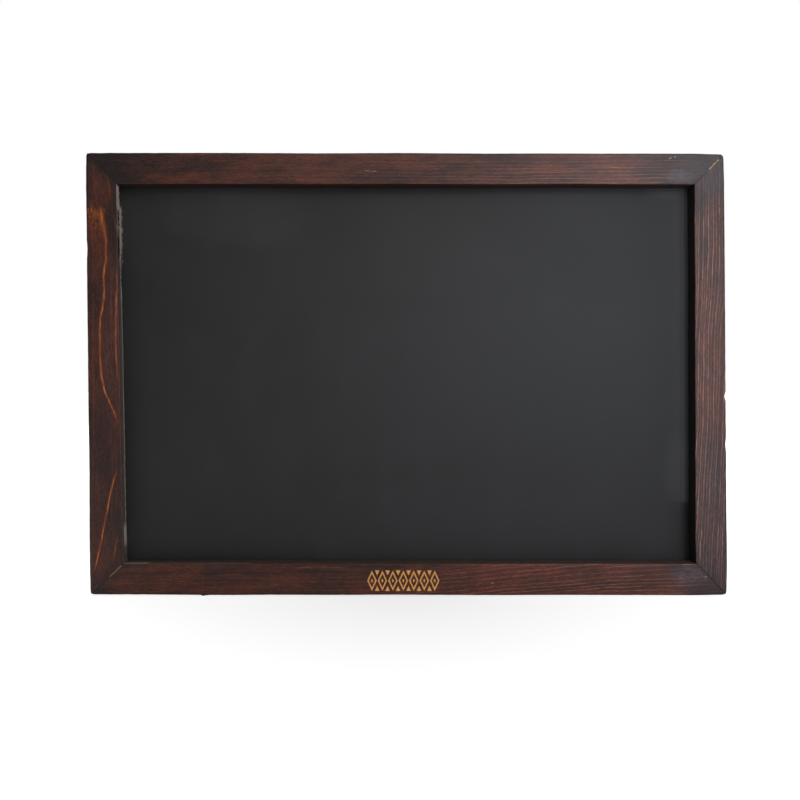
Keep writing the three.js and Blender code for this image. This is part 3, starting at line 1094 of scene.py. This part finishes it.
@dataclass(frozen=True)
class ChalkPaint:
    """Matte black chalkboard paint, rolled on, with a film of old chalk, and painted light that lifts the
    shade beside the rails.
    """

    black: Colour = srgb(41, 41, 41)
    # Pale colour of the old chalk and of the painted light on the panel.
    haze: Colour = srgb(84, 84, 90)
    speck: Colour = srgb(150, 150, 150)
    scuff: Colour = srgb(120, 128, 130)
    crumb: Colour = srgb(136, 126, 115)
    left_edge: float = -294.4
    # Pale patches on the panel: those along the top edge, beside the right wall and along the bottom are
    # painted light that lifts the shade next to the rails; the one at the upper left is a paler area.
    pale_patches_and_painted_light: tuple[Veil, ...] = (
        Veil(-180, 392, 74, 40, 0.13),
        Veil(-195, 419, 130, 13, 0.11),
        Veil(160, 419, 160, 13, 0.13),
        Veil(272, 419, 28, 13, 0.28),
        Veil(286, 128, 20, 44, 0.15),
        Veil(25, 60, 180, 56, 0.07),
    )

    def build(self) -> Material:
        """The material of the writing side."""
        shader = Shader("chalk_paint")
        x, y, z = shader.place()
        point = (x, z)
        cloud = shader.noise((x * 0.006, z * 0.008), detail=4.0, distortion=0.6)
        smear = shader.noise((x * 0.035, z * 0.012, 4.0), detail=5.0, rough=0.6)
        haze = cloud.step(0.35, 0.7, 0.0, 0.05) + smear.step(0.4, 0.75, 0.0, 0.06)
        haze = haze + oval(x + 70.0, 240, z - 240.0, 190).step(1.0, 0.0, 0.0, 0.05)
        # Painted light beside the right wall, lifting the shadow that the wall casts.
        haze = haze + self.painted_light_by_wall(x, z)
        # Pale patches, mostly painted light that lifts the shade next to the rails.
        for pale_patch in self.pale_patches_and_painted_light:
            haze = haze + pale_patch.on_panel(x, z)
        colour = shader.mix(haze, self.black, self.haze)
        specks = shader.spots(point, 0.055, 0.035, 0.05)
        colour = shader.mix(specks * 0.45, colour, self.speck)
        colour = shader.mix(self.scuffs(x, z), colour, self.scuff)
        colour = shader.mix(self.crumbs(x, z), colour, self.crumb)
        stipple = shader.noise(point, scale=0.9, detail=3.0, rough=0.6)
        roller = shader.noise((x * 0.25, z * 0.9, 2.0), detail=2.0)
        relief = shader.bump(stipple, 0.05, shader.bump(roller, 0.05))
        roughness = 0.62 + (smear - 0.5) * 0.15
        return shader.finish(colour, roughness, relief, ior=1.5)

    def painted_light_by_wall(self, x: Wire, z: Wire) -> Wire:
        """Painted light beside the right wall that lifts the shadow the wall casts on the panel, above
        about 92 mm from the bottom.
        """
        near_wall = x.curve(((262, 0.0), (272, 0.03), (281, 0.12), (285, 0.22), (287, 0.42), (289, 0.64),
                             (291.5, 0.55), (294, 0.35)))
        return near_wall * z.step(90.0, 94.5)

    def crumbs(self, x: Wire, z: Wire) -> Wire:
        """Dusty crumbs in the upper part of the left edge, where the paint has broken off."""
        ragged = x.shader.noise((x * 0.4, z * 0.3, 7.0), detail=5.0, rough=0.7)
        reach = self.left_edge + (ragged - 0.45) * 11.0 - x
        span = z.step(330.0, 344.0) * z.step(404.0, 392.0)
        return reach.step(-0.2, 0.4) * span * 0.8

    def scuffs(self, x: Wire, z: Wire) -> Wire:
        """Pale scuffs under the top rail, near its right end."""
        lean = z - x * 0.35
        streak = x.shader.noise((x * 0.3, lean * 2.2), detail=3.0)
        near_x = x.step(240.0, 262.0) * x.step(284.0, 274.0)
        near_z = z.step(396.0, 404.0) * z.step(416.0, 412.0)
        return streak.step(0.6, 0.72) * near_x * (near_z * 0.5)


@dataclass(frozen=True)
class Hardboard:
    """Bare brown hardboard, pressed on a wire screen."""

    brown: Colour = srgb(122, 84, 54)

    def build(self) -> Material:
        """The material of the panel's back and edges."""
        shader = Shader("hardboard")
        x, y, z = shader.place()
        weave = shader.math("SINE", x * 3.6) * shader.math("SINE", z * 3.6)
        screen = weave.step(-0.7, 0.7)
        fluff = shader.noise((x, y, z), scale=0.5, detail=6.0, rough=0.65)
        blotch = shader.noise((x, y, z), scale=0.012, detail=3.0)
        colour = shader.scale(self.brown, fluff.step(0.25, 0.75, 0.75, 1.2))
        for level in (blotch.step(0.3, 0.7, 0.88, 1.1), screen.step(0.0, 1.0, 0.82, 1.05)):
            colour = shader.scale(colour, level)
        relief = shader.bump(fluff, 0.1, shader.bump(screen, 0.18))
        return shader.finish(colour, 0.8, relief, ior=1.45)


@dataclass
class WritingPanel:
    """The hardboard sheet that is painted on its front."""

    edge: float = 0.35 * MM

    def build(self) -> Piece:
        """The sheet, slightly rounded at its edges."""
        low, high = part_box("writing_panel")
        size, centre = high - low, (low + high) / 2
        shape = bmesh.new()
        bmesh.ops.create_cube(shape, size=1.0)
        bmesh.ops.scale(shape, vec=size, verts=shape.verts)
        move(shape, centre)
        bmesh.ops.bevel(shape, geom=shape.edges[:], offset=self.edge, segments=2, profile=0.5,
                        affect="EDGES", material=-1)
        for face in shape.faces:
            face.material_index = 0 if face.normal.y < -0.3 else 1
        return make_piece(shape, "writing_panel_sheet", (ChalkPaint().build(), Hardboard().build()))


@dataclass(frozen=True)
class Steel:
    """Sheet or wire steel, bright or dull."""

    name: str
    colour: Colour
    roughness: float
    brushed: tuple[float, float, float] = (1.0, 1.0, 1.0)

    def build(self) -> Material:
        """The metal's material, with fine scratches and small stains."""
        shader = Shader(self.name)
        place = shader.place()
        drawn = tuple(axis * share for axis, share in zip(place, self.brushed))
        scratches = shader.noise(drawn, scale=3.0, detail=4.0)
        stain = shader.noise(place, scale=0.25, detail=3.0)
        colour = shader.scale(self.colour, stain.step(0.3, 0.7, 0.8, 1.08))
        roughness = self.roughness + (scratches - 0.5) * 0.25
        return shader.finish(colour, roughness, shader.bump(scratches, 0.02), metallic=1.0)


@dataclass(frozen=True)
class MouldedRubber:
    """Black rubber with a pale dusty film."""

    black: Colour = srgb(26, 26, 27)
    dust: Colour = srgb(95, 94, 92)

    def build(self) -> Material:
        """The rubber's material."""
        shader = Shader("moulded_rubber")
        place = shader.place()
        grit = shader.noise(place, scale=2.5, detail=4.0)
        bloom_and_painted_sheen = shader.noise(place, scale=0.3, detail=3.0)
        colour = shader.mix(bloom_and_painted_sheen.step(0.4, 0.75, 0.0, 0.25), self.black, self.dust)
        return shader.finish(colour, 0.7, shader.bump(grit, 0.03), ior=1.5)


@dataclass
class Hanger:
    """A folded strap, the wire ring that swings in its eye, and its two screws."""

    tag: str
    steel: Material
    smooth_below: float = 40.0
    sheet: float = 0.8 * MM
    wire: float = 1.0 * MM
    bend: float = 2.5 * MM
    leg: float = 2.5 * MM
    bar_clearance: float = 0.5 * MM
    butt_gap: float = 0.4 * MM
    tail_radius: float = 3.0 * MM
    closing: float = math.radians(25)
    seat: float = 0.3 * MM
    screw_tip: float = 4.0 * MM
    head_rim: float = 1.0 * MM
    head_crown: float = 0.45
    recess_reach: float = 1.9 * MM
    recess_stroke: float = 0.45 * MM
    recess_depth: float = 1.2 * MM
    recess_taper: float = 0.5
    recess_turn: float = math.radians(23)

    def __post_init__(self) -> None:
        """Reads the strap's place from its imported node."""
        low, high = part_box(f"hanger_strap_{self.tag}")
        self.low, self.high = low, high
        self.eye_radius = (high.y - low.y) / 2
        self.axis = Vector(((low.x + high.x) / 2, low.y + self.eye_radius, high.z - self.eye_radius))

    def strap(self) -> Piece:
        """The strap: one strip of sheet, folded round the eye and back on itself.

        Its outer face is drawn first: up the wood, over and round the eye, and down again over the
        first leg. The sheet's thickness grows inwards from there.

        Returns:
            The piece, at its place.
        """
        shape = bmesh.new()
        half = (self.high.x - self.low.x) / 2
        tail = self.low.z - self.axis.z
        start = [shape.verts.new((side * half, 0.0, tail)) for side in (-1, 1)]
        edges = self.pull(shape, [shape.edges.new(start)], (0.0, 0.0, -tail))
        swept = bmesh.ops.spin(shape, geom=edges + self.ends_of(edges), cent=(0, self.eye_radius, 0),
                               axis=(-1, 0, 0), angle=math.pi * 1.5 - self.closing, steps=30)
        last = only(BMEdge, swept["geom_last"])
        back = 2 * self.sheet - last[0].verts[0].co.y
        last = self.pull(shape, last, (0.0, back, back * math.tan(self.closing)))
        self.pull(shape, last, (0.0, 0.0, tail - last[0].verts[0].co.z))
        corners = [vertex for vertex in shape.verts if vertex.co.z < tail + 1e-5]
        bmesh.ops.bevel(shape, geom=corners, offset=self.tail_radius, segments=6, profile=0.5,
                        affect="VERTICES", material=-1)
        outward(shape)
        on_wood = min(shape.faces, key=lambda face: face.calc_center_median().y)
        if on_wood.normal.y > 0:
            bmesh.ops.reverse_faces(shape, faces=shape.faces)
        bmesh.ops.solidify(shape, geom=shape.faces[:], thickness=self.sheet * 0.98)
        outward(shape)
        return self.placed(shape, f"hanger_strap_{self.tag}_steel")

    def pull(self, shape: BMesh, edges: list[BMEdge], by: Sequence[float]) -> list[BMEdge]:
        """Extrudes edges by a vector and returns the new ones."""
        grown = bmesh.ops.extrude_edge_only(shape, edges=edges)["geom"]
        moved = set(only(BMVert, grown))
        bmesh.ops.translate(shape, vec=by, verts=list(moved))
        return [edge for edge in only(BMEdge, grown) if set(edge.verts) <= moved]

    def ends_of(self, edges: Iterable[BMEdge]) -> list[BMVert]:
        """The vertices of some edges, each once."""
        return list({vertex for edge in edges for vertex in edge.verts})

    def placed(self, shape: BMesh, name: str) -> Piece:
        """Moves a shape from round its eye at y = eye_radius to its place on the board."""
        move(shape, (self.axis.x, self.low.y, self.axis.z))
        return make_piece(shape, name, (self.steel,), self.smooth_below)

    def ring(self) -> Piece:
        """The ring: a wire bent to a D, with its ends butted in the eye, leaning on the wood."""
        shape = bmesh.new()
        straight = (self.high.x - self.low.x) / 2 + self.bar_clearance
        reach = self.bend + self.leg + straight + self.bend
        made = bmesh.ops.create_circle(shape, cap_ends=False, segments=16, radius=self.wire)
        turn = Matrix.Rotation(math.pi / 2, 4, "Y")
        bmesh.ops.transform(shape, matrix=turn, verts=made["verts"])
        bmesh.ops.translate(shape, vec=(self.butt_gap / 2, 0, 0), verts=made["verts"])
        loop = self.pull(shape, shape.edges[:], (straight - self.butt_gap / 2, 0, 0))
        loop = self.wheel(shape, loop, (straight, 0, self.bend), 8)
        loop = self.pull(shape, loop, (0, 0, self.leg))
        loop = self.wheel(shape, loop, (0, 0, self.bend + self.leg), 20)
        kept = shape.verts[:] + shape.edges[:] + shape.faces[:]
        bmesh.ops.mirror(shape, geom=kept, matrix=Matrix.Identity(4), merge_dist=1e-6, axis="X")
        bmesh.ops.holes_fill(shape, edges=[edge for edge in shape.edges if edge.is_boundary], sides=0)
        outward(shape)
        lean = math.asin((self.eye_radius - self.wire - self.seat) / reach)
        move(shape, Matrix.Translation((0, self.eye_radius, 0)) @ Matrix.Rotation(lean, 4, "X"))
        return self.placed(shape, f"hang_ring_{self.tag}_wire")

    def wheel(self, shape: BMesh, loop: list[BMEdge], centre: Sequence[float], steps: int) -> list[BMEdge]:
        """Sweeps a loop of edges by a quarter turn round a centre, in the plane of the ring."""
        swept = bmesh.ops.spin(shape, geom=loop + self.ends_of(loop), cent=centre, axis=(0, -1, 0),
                               angle=math.pi / 2, steps=steps)
        return only(BMEdge, swept["geom_last"])

    def screw(self, where: str) -> Piece:
        """A pan-head screw with a cross recess."""
        low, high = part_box(f"hanger_screw_{self.tag}_{where}")
        head, centre = (high.x - low.x) / 2, box_middle(low, high)
        shank, under = head / 2, self.low.y + 2 * self.sheet
        profile = [(0.0, low.y), (shank, low.y + self.screw_tip), (shank, under), (head, under)]
        profile += shoulder(head * self.head_crown, head, under + self.head_rim, high.y, 8)
        shape = turned(profile + [(0.0, high.y)], 32, centre)
        piece = make_piece(shape, f"hanger_screw_{self.tag}_{where}_steel", (self.steel,))
        carve(piece, self.cross(centre, high.y))
        return piece

    def cross(self, centre: Vector, top: float) -> BMesh:
        """A tapered cross that cuts a screw's recess."""
        shape = bmesh.new()
        reach, stroke, depth = self.recess_reach, self.recess_stroke, self.recess_depth
        outline = [(reach, -stroke), (reach, stroke), (stroke, stroke)]
        while len(outline) < 12:
            x, z = outline[-3]
            outline.append((-z, x))
        plate(shape, outline, top - depth, top + depth)
        for vertex in shape.verts:
            if vertex.co.y < top:
                vertex.co.x *= self.recess_taper
                vertex.co.z *= self.recess_taper
        move(shape, Matrix.Translation(centre) @ Matrix.Rotation(self.recess_turn, 4, "Y"))
        return shape

    def build(self) -> None:
        """Makes the hanger's pieces and puts them on their bodies."""
        register(self.strap(), BOARD, "zinc_steel", f"hanger_strap_{self.tag}")
        register(self.ring(), f"{self.tag}_ring", "zinc_steel", f"hang_ring_{self.tag}")
        for where in ("upper", "lower"):
            register(self.screw(where), BOARD, "zinc_steel", f"hanger_screw_{self.tag}_{where}")


@dataclass
class Bumper:
    """A round rubber foot with a dished face."""

    tag: str
    rubber: Material
    rim: float = 0.9 * MM
    dish: float = 0.35 * MM
    land: float = 0.62
    dish_share: float = 0.5

    def build(self) -> None:
        """Makes the bumper and puts it on the board."""
        node = f"bumper_{self.tag}"
        low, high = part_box(node)
        radius = (high.x - low.x) / 2
        profile = [(0.0, low.y), (radius, low.y)]
        profile += shoulder(radius - self.rim, radius, high.y - self.rim, high.y, 6)
        floor = high.y - self.dish
        profile += [(radius * self.land, high.y), (radius * self.dish_share, floor), (0.0, floor)]
        piece = make_piece(turned(profile, 48, box_middle(low, high)), f"{node}_rubber", (self.rubber,))
        register(piece, BOARD, "black_rubber", node)


LEFT_GRAIN = Grain(
    seed=1.0,
    lines=((6.0, 0.22), (25.0, 0.18)),
    tone=((0, 0.35), (40, 0.45), (120, 0.3), (165, 0.4), (200, 0.5), (260, 0.5), (330, 0.4), (370, 0.4),
          (400, 0.5), (430, 0.4), (450, 0.1)),
    patchy=0.8, streaky=0.3, crisp=0.08, soaked=(9.0, 16.0),
    veils=(Veil(414, 29, 30, 6, 0.5, dark=True), Veil(372, 26, 44, 8, 0.45, dark=True),
           Veil(255, 21, 110, 16, 0.03)),
    knot=(389.5, 16.5),
    veins=(
        Vein(((174.8, 31.6), (186, 27.2), (199.3, 21.5), (213.5, 16.5), (226.7, 14.6), (244, 13.3),
              (264.4, 13.0), (281.6, 13.65), (292.8, 15.9), (310.1, 17.5), (322.3, 17.1), (332.5, 17.7),
              (342.7, 19.4), (355.9, 19.5), (371.2, 17.1), (386.4, 15.2), (395, 12.2)), 1.6),
        Vein(((360, 19.2), (374, 17.0), (385, 15.2), (398, 12.2)), 4.6, 0.66),
        Vein(((398.6, 22.6), (404.7, 23.5), (419, 22.2), (425, 20.2), (431, 18.0)), 0.9, 0.75),
        Vein(((362, 31.5), (371.2, 29.9), (385.4, 27.5), (390, 27.0)), 0.8, 0.45),
        Vein(((216, 31.8), (239, 30.0), (259.3, 29.2), (300, 29.8), (315.2, 30.6), (334, 31.2)), 1.3, 0.8),
        Vein(((22, 6.0), (30.7, 9.0), (46, 12.6), (61.1, 15.7), (77.5, 18.8), (90.4, 21.4), (105.7, 24.3),
              (112.8, 26.1), (128, 30.2)), 1.2, 0.9),
        Vein(((34, 26.7), (40, 27.7), (49.4, 29.1), (62, 31.6)), 1.0, 0.5),
    ),
    marks=(Mark(214.3, 8.0, 0.7, 0.6, dark=True), Mark(8.0, 9.0, 2.5, 0.2, 0.6, strength=0.35),
           Mark(6.0, 12.5, 2.0, 0.2, -0.4, strength=0.3)),
)
RIGHT_GRAIN = Grain(
    seed=2.0,
    drift=((0, 14.5), (60, 12.5), (100, 10.4), (160, 7.2), (260, 3.6), (340, 0), (450, -0.6)),
    lines=((2.0, 0.5), (4.6, 0.3), (7.4, 0.85), (10.6, 0.4), (13.7, 0.9), (16.0, 0.3), (18.5, 1.0),
           (21.0, 0.4), (23.4, 0.8), (27.5, 0.7), (29.4, 0.35), (31.6, 0.6), (-3.5, 0.7), (-6.0, 0.35),
           (-8.5, 0.7), (-13.0, 0.6)),
    line_width=0.85, line_share=1.0,
    tone=((0, 0.2), (60, 0.25), (130, 0.25), (220, 0.5), (330, 0.4), (400, 0.25), (450, 0.15)),
    line_fade=((0, 0.9), (120, 0.85), (220, 1.0), (380, 1.0), (450, 0.7)),
    patchy=0.6, streaky=0.7, crisp=0.26, soaked=(14.0, 40.0),
    veils=(Veil(40, 16, 130, 36, 0.09), Veil(430, 14, 30, 22, 0.09)),
    marks=(Mark(395.5, 7.0, 0.9, 0.7, dark=True), Mark(36.0, 9.0, 5.0, 0.2, 1.2, strength=0.22),
           Mark(30.0, 11.0, 6.0, 0.2, 1.3, strength=0.2), Mark(41.0, 14.0, 5.0, 0.2, 1.2, strength=0.2)),
)
TOP_GRAIN = Grain(
    seed=3.0,
    drift=((0, 0), (300, 0.5), (650, -1.5)),
    lines=((4, 0.3), (9, 0.5), (13, 0.5), (16, 0.6), (20, 0.6), (23.5, 0.7), (27, 0.8), (31, 0.7)),
    line_fade=((0, 0.0), (250, 0.2), (420, 0.7), (540, 1.0), (610, 0.7), (650, 0.3)),
    line_share=0.62, soaked=(26.0, 34.0),
    veils=(Veil(602, 24, 16, 9, 0.15), Veil(628, 14, 36, 20, 0.07)),
    tone=((0, 0.1), (80, 0.35), (230, 0.55), (330, 0.5), (400, 0.4), (470, 0.65), (540, 0.65), (590, 0.3),
          (650, 0.2)),
    veins=(
        Vein(((120, 8.0), (135, 8.6), (150, 8.2)), 0.5, 0.3),
        Vein(((440, 20.0), (470, 18.6), (505, 18.2)), 0.8, 0.4),
        Vein(((500, 13.0), (530, 14.6), (560, 15.0)), 0.8, 0.45),
    ),
    marks=(Mark(593.0, 5.6, 1.8, 0.4, -0.5), Mark(597.5, 4.6, 1.2, 0.35, -0.6),
           Mark(285.0, 18.4, 3.5, 0.25, strength=0.5), Mark(292.0, 18.9, 3.0, 0.25, strength=0.6)),
)
BOTTOM_GRAIN = Grain(
    seed=4.0,
    drift=((0, 0), (250, 1.0), (350, 4.0), (450, 13.0), (540, 20.0), (650, 24.0)),
    lines=((4, 0.5), (8.5, 0.5), (12.5, 0.7), (17, 0.6), (20, 0.5), (25, 0.4), (-1, 0.6), (-5, 0.8),
           (-8.5, 0.7), (-12, 0.8), (-16, 0.6), (-20, 0.6)),
    line_fade=((0, 0.15), (200, 0.25), (420, 0.8), (560, 1.0), (640, 0.6)),
    line_share=0.66, soaked=(10.0, 36.0),
    veils=(Veil(612, 22, 26, 12, 0.15), Veil(620, 10, 40, 20, 0.05),
           Veil(578, 20, 26, 18, 0.3, dark=True)),
    veins=(
        Vein(((86, 13.2), (97, 14.2), (108, 14.6)), 0.5, 0.5),
        Vein(((130, 20.0), (150, 21.5), (166, 21.8)), 0.5, 0.3),
        Vein(((210, 27.5), (235, 28.8), (262, 28.4)), 0.9, 0.35),
        Vein(((395, 6.0), (425, 11.0), (452, 15.5)), 0.6, 0.3),
    ),
    tone=((0, 0.2), (60, 0.45), (250, 0.4), (340, 0.45), (480, 0.75), (580, 0.55), (650, 0.3)),
    streaky=0.8,
    marks=(Mark(412.0, 12.4, 1.6, 0.3), Mark(629.0, 18.6, 1.0, 0.4, 0.4),
           Mark(610.0, 31.2, 6.0, 0.3, strength=0.3)),
)


@dataclass
class Board:
    """The whole chalkboard."""

    nail_gap: float = 0.3 * MM
    nail_sheet: float = 0.6 * MM

    def rails(self) -> list[Rail]:
        """The four rails, as the photograph shows them."""
        left_wall = SightWall(
            srgb(60, 46, 42), dusty=0.75, dust=srgb(112, 99, 91), paint=13.7, laps=4.0,
            flakes=((398, 422, 8.0, 14.0), (345, 394, 3.0, 8.0), (315, 350, 11.0, 14.0)),
            scrapes=((394, 422, 0.0, 9.5, 1.0), (366, 398, 2.0, 15.0, 1.0), (340, 376, 8.0, 15.0, 1.0),
                     (300, 345, 9.4, 12.4, 0.9), (75, 305, 10.4, 12.4, 0.75), (50, 70, 5.0, 13.0, 1.0)))
        return [
            Rail(Side.LEFT, LEFT_GRAIN, left_wall,
                 sight=((0, 0.0), (70, -0.6), (130, -0.8), (190, -0.5), (320, -0.6), (450, 0.0)),
                 dents=((356, -0.5, 1.0), (352, 0.6, 9.0))),
            # The right wall's near-black stain is partly real stain and partly painted shade, as the wall
            # faces away from the lamps.
            Rail(Side.RIGHT, RIGHT_GRAIN, SightWall(srgb(26, 21, 20), paint=9.5),
                 sight=((0, 0.0), (60, 1.2), (200, 0.6), (450, 0.0)),
                 dents=((202, 1.4, 3.5), (153, 0.8, 6.0))),
            Rail(Side.TOP, TOP_GRAIN, SightWall(srgb(58, 32, 26), paint=12.2)),
            Rail(Side.BOTTOM, BOTTOM_GRAIN,
                 SightWall(srgb(66, 50, 42), dusty=0.2, laps=12.0,
                           scrapes=((28, 62, -2.0, 6.0, 0.36), (66, 165, -2.0, 4.5, 0.12))),
                 dents=((118, -1.2, 2.0), (121, -0.5, 3.5))),
        ]

    def nail_slots(self) -> BMesh:
        """Slots that show the V-nails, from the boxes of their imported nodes."""
        shape = bmesh.new()
        outer, inner = -self.nail_gap, self.nail_sheet + self.nail_gap
        for node in sorted(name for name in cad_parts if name.startswith("v_nail")):
            low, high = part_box(node)
            x, into_x = (high.x, -1) if low.x < 0 else (low.x, 1)
            z, into_z = (high.z, -1) if low.z < FRAME.high.z / 2 else (low.z, 1)
            end = high.x - low.x + self.nail_gap
            offsets = ((outer, outer), (end, outer), (end, inner), (inner, inner), (inner, end),
                       (outer, end))
            outline = [(x + into_x * run, z + into_z * rise) for run, rise in offsets]
            plate(shape, outline, low.y - self.nail_gap, FRAME.back + self.nail_gap)
        return shape

    def build(self) -> None:
        """Makes and dresses every piece of the board."""
        for rail in self.rails():
            piece = rail.build()
            if rail.side is Side.BOTTOM:
                LozengeBand().engrave(piece)
            carve(piece, self.nail_slots())
            register(piece, BOARD, "stained_pine", rail.side.node)
        register(WritingPanel().build(), BOARD, "chalk_paint", "writing_panel")
        zinc = Steel("zinc_plate", srgb(205, 208, 212), 0.28).build()
        dull = Steel("bare_steel", srgb(150, 150, 148), 0.42, (0.2, 1.0, 1.0)).build()
        rubber = MouldedRubber().build()
        for tag in ("left", "right"):
            Hanger(tag, zinc).build()
            Bumper(tag, rubber).build()
        for name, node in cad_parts.items():
            if name.startswith(("v_nail", "point")):
                node.data.materials.clear()
                node.data.materials.append(dull)
                LOG.info("%s: packed node in bare steel", name)


@dataclass
class Studio:
    """The camera at the photograph's viewing point, soft lamps, a white floor and a white background."""

    pixels: int = 800
    mm_per_pixel: float = 1.0165
    board_centre: tuple[float, float] = (406.75, 373.95)
    straight_ahead: tuple[float, float] = (345.0, 369.0)
    distance: float = 0.69
    sensor: float = 36.0
    front_level: float = 0.45
    back_level: float = 0.55
    mirror_share: float = 0.22
    floor_glow: float = 0.62
    glow_rise: float = 0.6
    floor_mirror: float = 0.12
    floor_size: float = 6.0
    floor_gap: float = 0.6 * MM

    def camera(self) -> None:
        """A camera that looks straight at the board's plane, shifted as the photograph is framed."""
        data = bpy.data.cameras.new("camera")
        camera = bpy.data.objects.new("camera", data)
        bpy.context.scene.collection.objects.link(camera)
        pixel = self.mm_per_pixel * MM
        x = (self.straight_ahead[0] - self.board_centre[0]) * pixel
        z = FRAME.high.z / 2 - (self.straight_ahead[1] - self.board_centre[1]) * pixel
        camera.location = (x, FRAME.front - self.distance, z)
        camera.rotation_euler = (math.pi / 2, 0.0, 0.0)
        data.sensor_width = self.sensor
        data.lens = self.sensor * self.distance / (self.pixels * pixel)
        data.shift_x = (self.pixels / 2 - self.straight_ahead[0]) / self.pixels
        data.shift_y = (self.straight_ahead[1] - self.pixels / 2) / self.pixels
        bpy.context.scene.camera = camera

    def lamp(self, name: str, place: Sequence[float], aim: Sequence[float], size: tuple[float, float],
             watts: float, colour: Colour = WHITE) -> None:
        """An area lamp that faces a point.

        Args:
            name: its name.
            place: where it hangs, in metres.
            aim: what it faces.
            size: its width and height.
            watts: its power.
            colour: its colour.
        """
        data = bpy.data.lights.new(name, "AREA")
        data.shape = "RECTANGLE"
        data.size, data.size_y = size
        data.energy = watts
        data.color = colour
        lamp = bpy.data.objects.new(name, data)
        lamp.location = place
        lamp.visible_camera = False
        lamp.rotation_euler = (Vector(aim) - Vector(place)).to_track_quat("-Z", "Y").to_euler()
        bpy.context.scene.collection.objects.link(lamp)

    def rays(self, shader: Shader) -> tuple[Wire, Wire]:
        """Whether a ray is a mirror's, and whether it is the camera's or passes through something."""
        glossy = shader.node("ShaderNodeLightPath", output="Is Glossy Ray")
        return glossy, shader.either(glossy.beside("Is Camera Ray"), glossy.beside("Is Transmission Ray"))

    def world(self) -> None:
        """A white backdrop where it is seen, a soft light all round, and a dim room in mirrors."""
        shader = Shader("studio", world=True)
        bpy.context.scene.world = shader.owner
        glossy, seen = self.rays(shader)
        direction = shader.node("ShaderNodeTexCoord", output="Generated")
        y = shader.node("ShaderNodeSeparateXYZ", (direction,), "Y")
        behind = shader.node("ShaderNodeMapRange", {"Value": y, "From Min": -0.2, "From Max": 0.3})
        seen = shader.either(seen, glossy * behind)
        room = shader.math("MULTIPLY_ADD", behind, self.back_level - self.front_level, self.front_level)
        room = room * shader.math("MULTIPLY_ADD", glossy, self.mirror_share - 1.0, 1.0)
        shader.feed(shader.end, {"Strength": shader.either(room, seen), "Color": WHITE})

    def floor(self) -> None:
        """A pale floor just under the board, which keeps its shadow and runs out into white."""
        shape = bmesh.new()
        bmesh.ops.create_grid(shape, x_segments=1, y_segments=1, size=self.floor_size)
        move(shape, (0, 0, FRAME.low.z - self.floor_gap))
        shader = Shader("studio_floor")
        glossy, seen = self.rays(shader)
        seen = shader.math("MULTIPLY_ADD", glossy, self.floor_mirror, seen)
        place = shader.node("ShaderNodeTexCoord", output="Object")
        reach = shader.node("ShaderNodeVectorMath", (place,), "Value", operation="LENGTH")
        away = shader.math("MULTIPLY_ADD", reach, self.glow_rise, self.floor_glow)
        glow = shader.math("MINIMUM", away, 1.0) * seen
        shader.feed(shader.end, {"Base Color": (0.5, 0.5, 0.5), "Roughness": 1.0, "Specular IOR Level": 0.0,
                                 "Emission Color": WHITE, "Emission Strength": glow})
        make_piece(shape, "studio_floor", (shader.owner,))

    def build(self) -> None:
        """Sets up the whole studio."""
        self.camera()
        self.world()
        self.lamp("window", (0.64, -0.85, 0.34), (0.2, 0.0, 0.22), (0.40, 1.2), 4.7, (0.86, 0.91, 1.0))
        self.lamp("skylight", (0.25, -1.15, 1.05), (0.0, 0.0, 0.30), (1.3, 0.8), 2.9, (1.0, 0.95, 0.90))
        self.lamp("back_lamp", (-0.7, 1.6, 1.3), (0.0, 0.0, 0.2), (1.4, 1.4), 18.0)
        self.floor()
        bpy.context.scene.view_settings.view_transform = "Standard"


def main() -> None:
    """Builds the studio and the board."""
    logging.basicConfig(level=logging.INFO, format="%(name)s: %(message)s")
    Studio().build()
    Board().build()


if __name__ == "__main__":
    main()
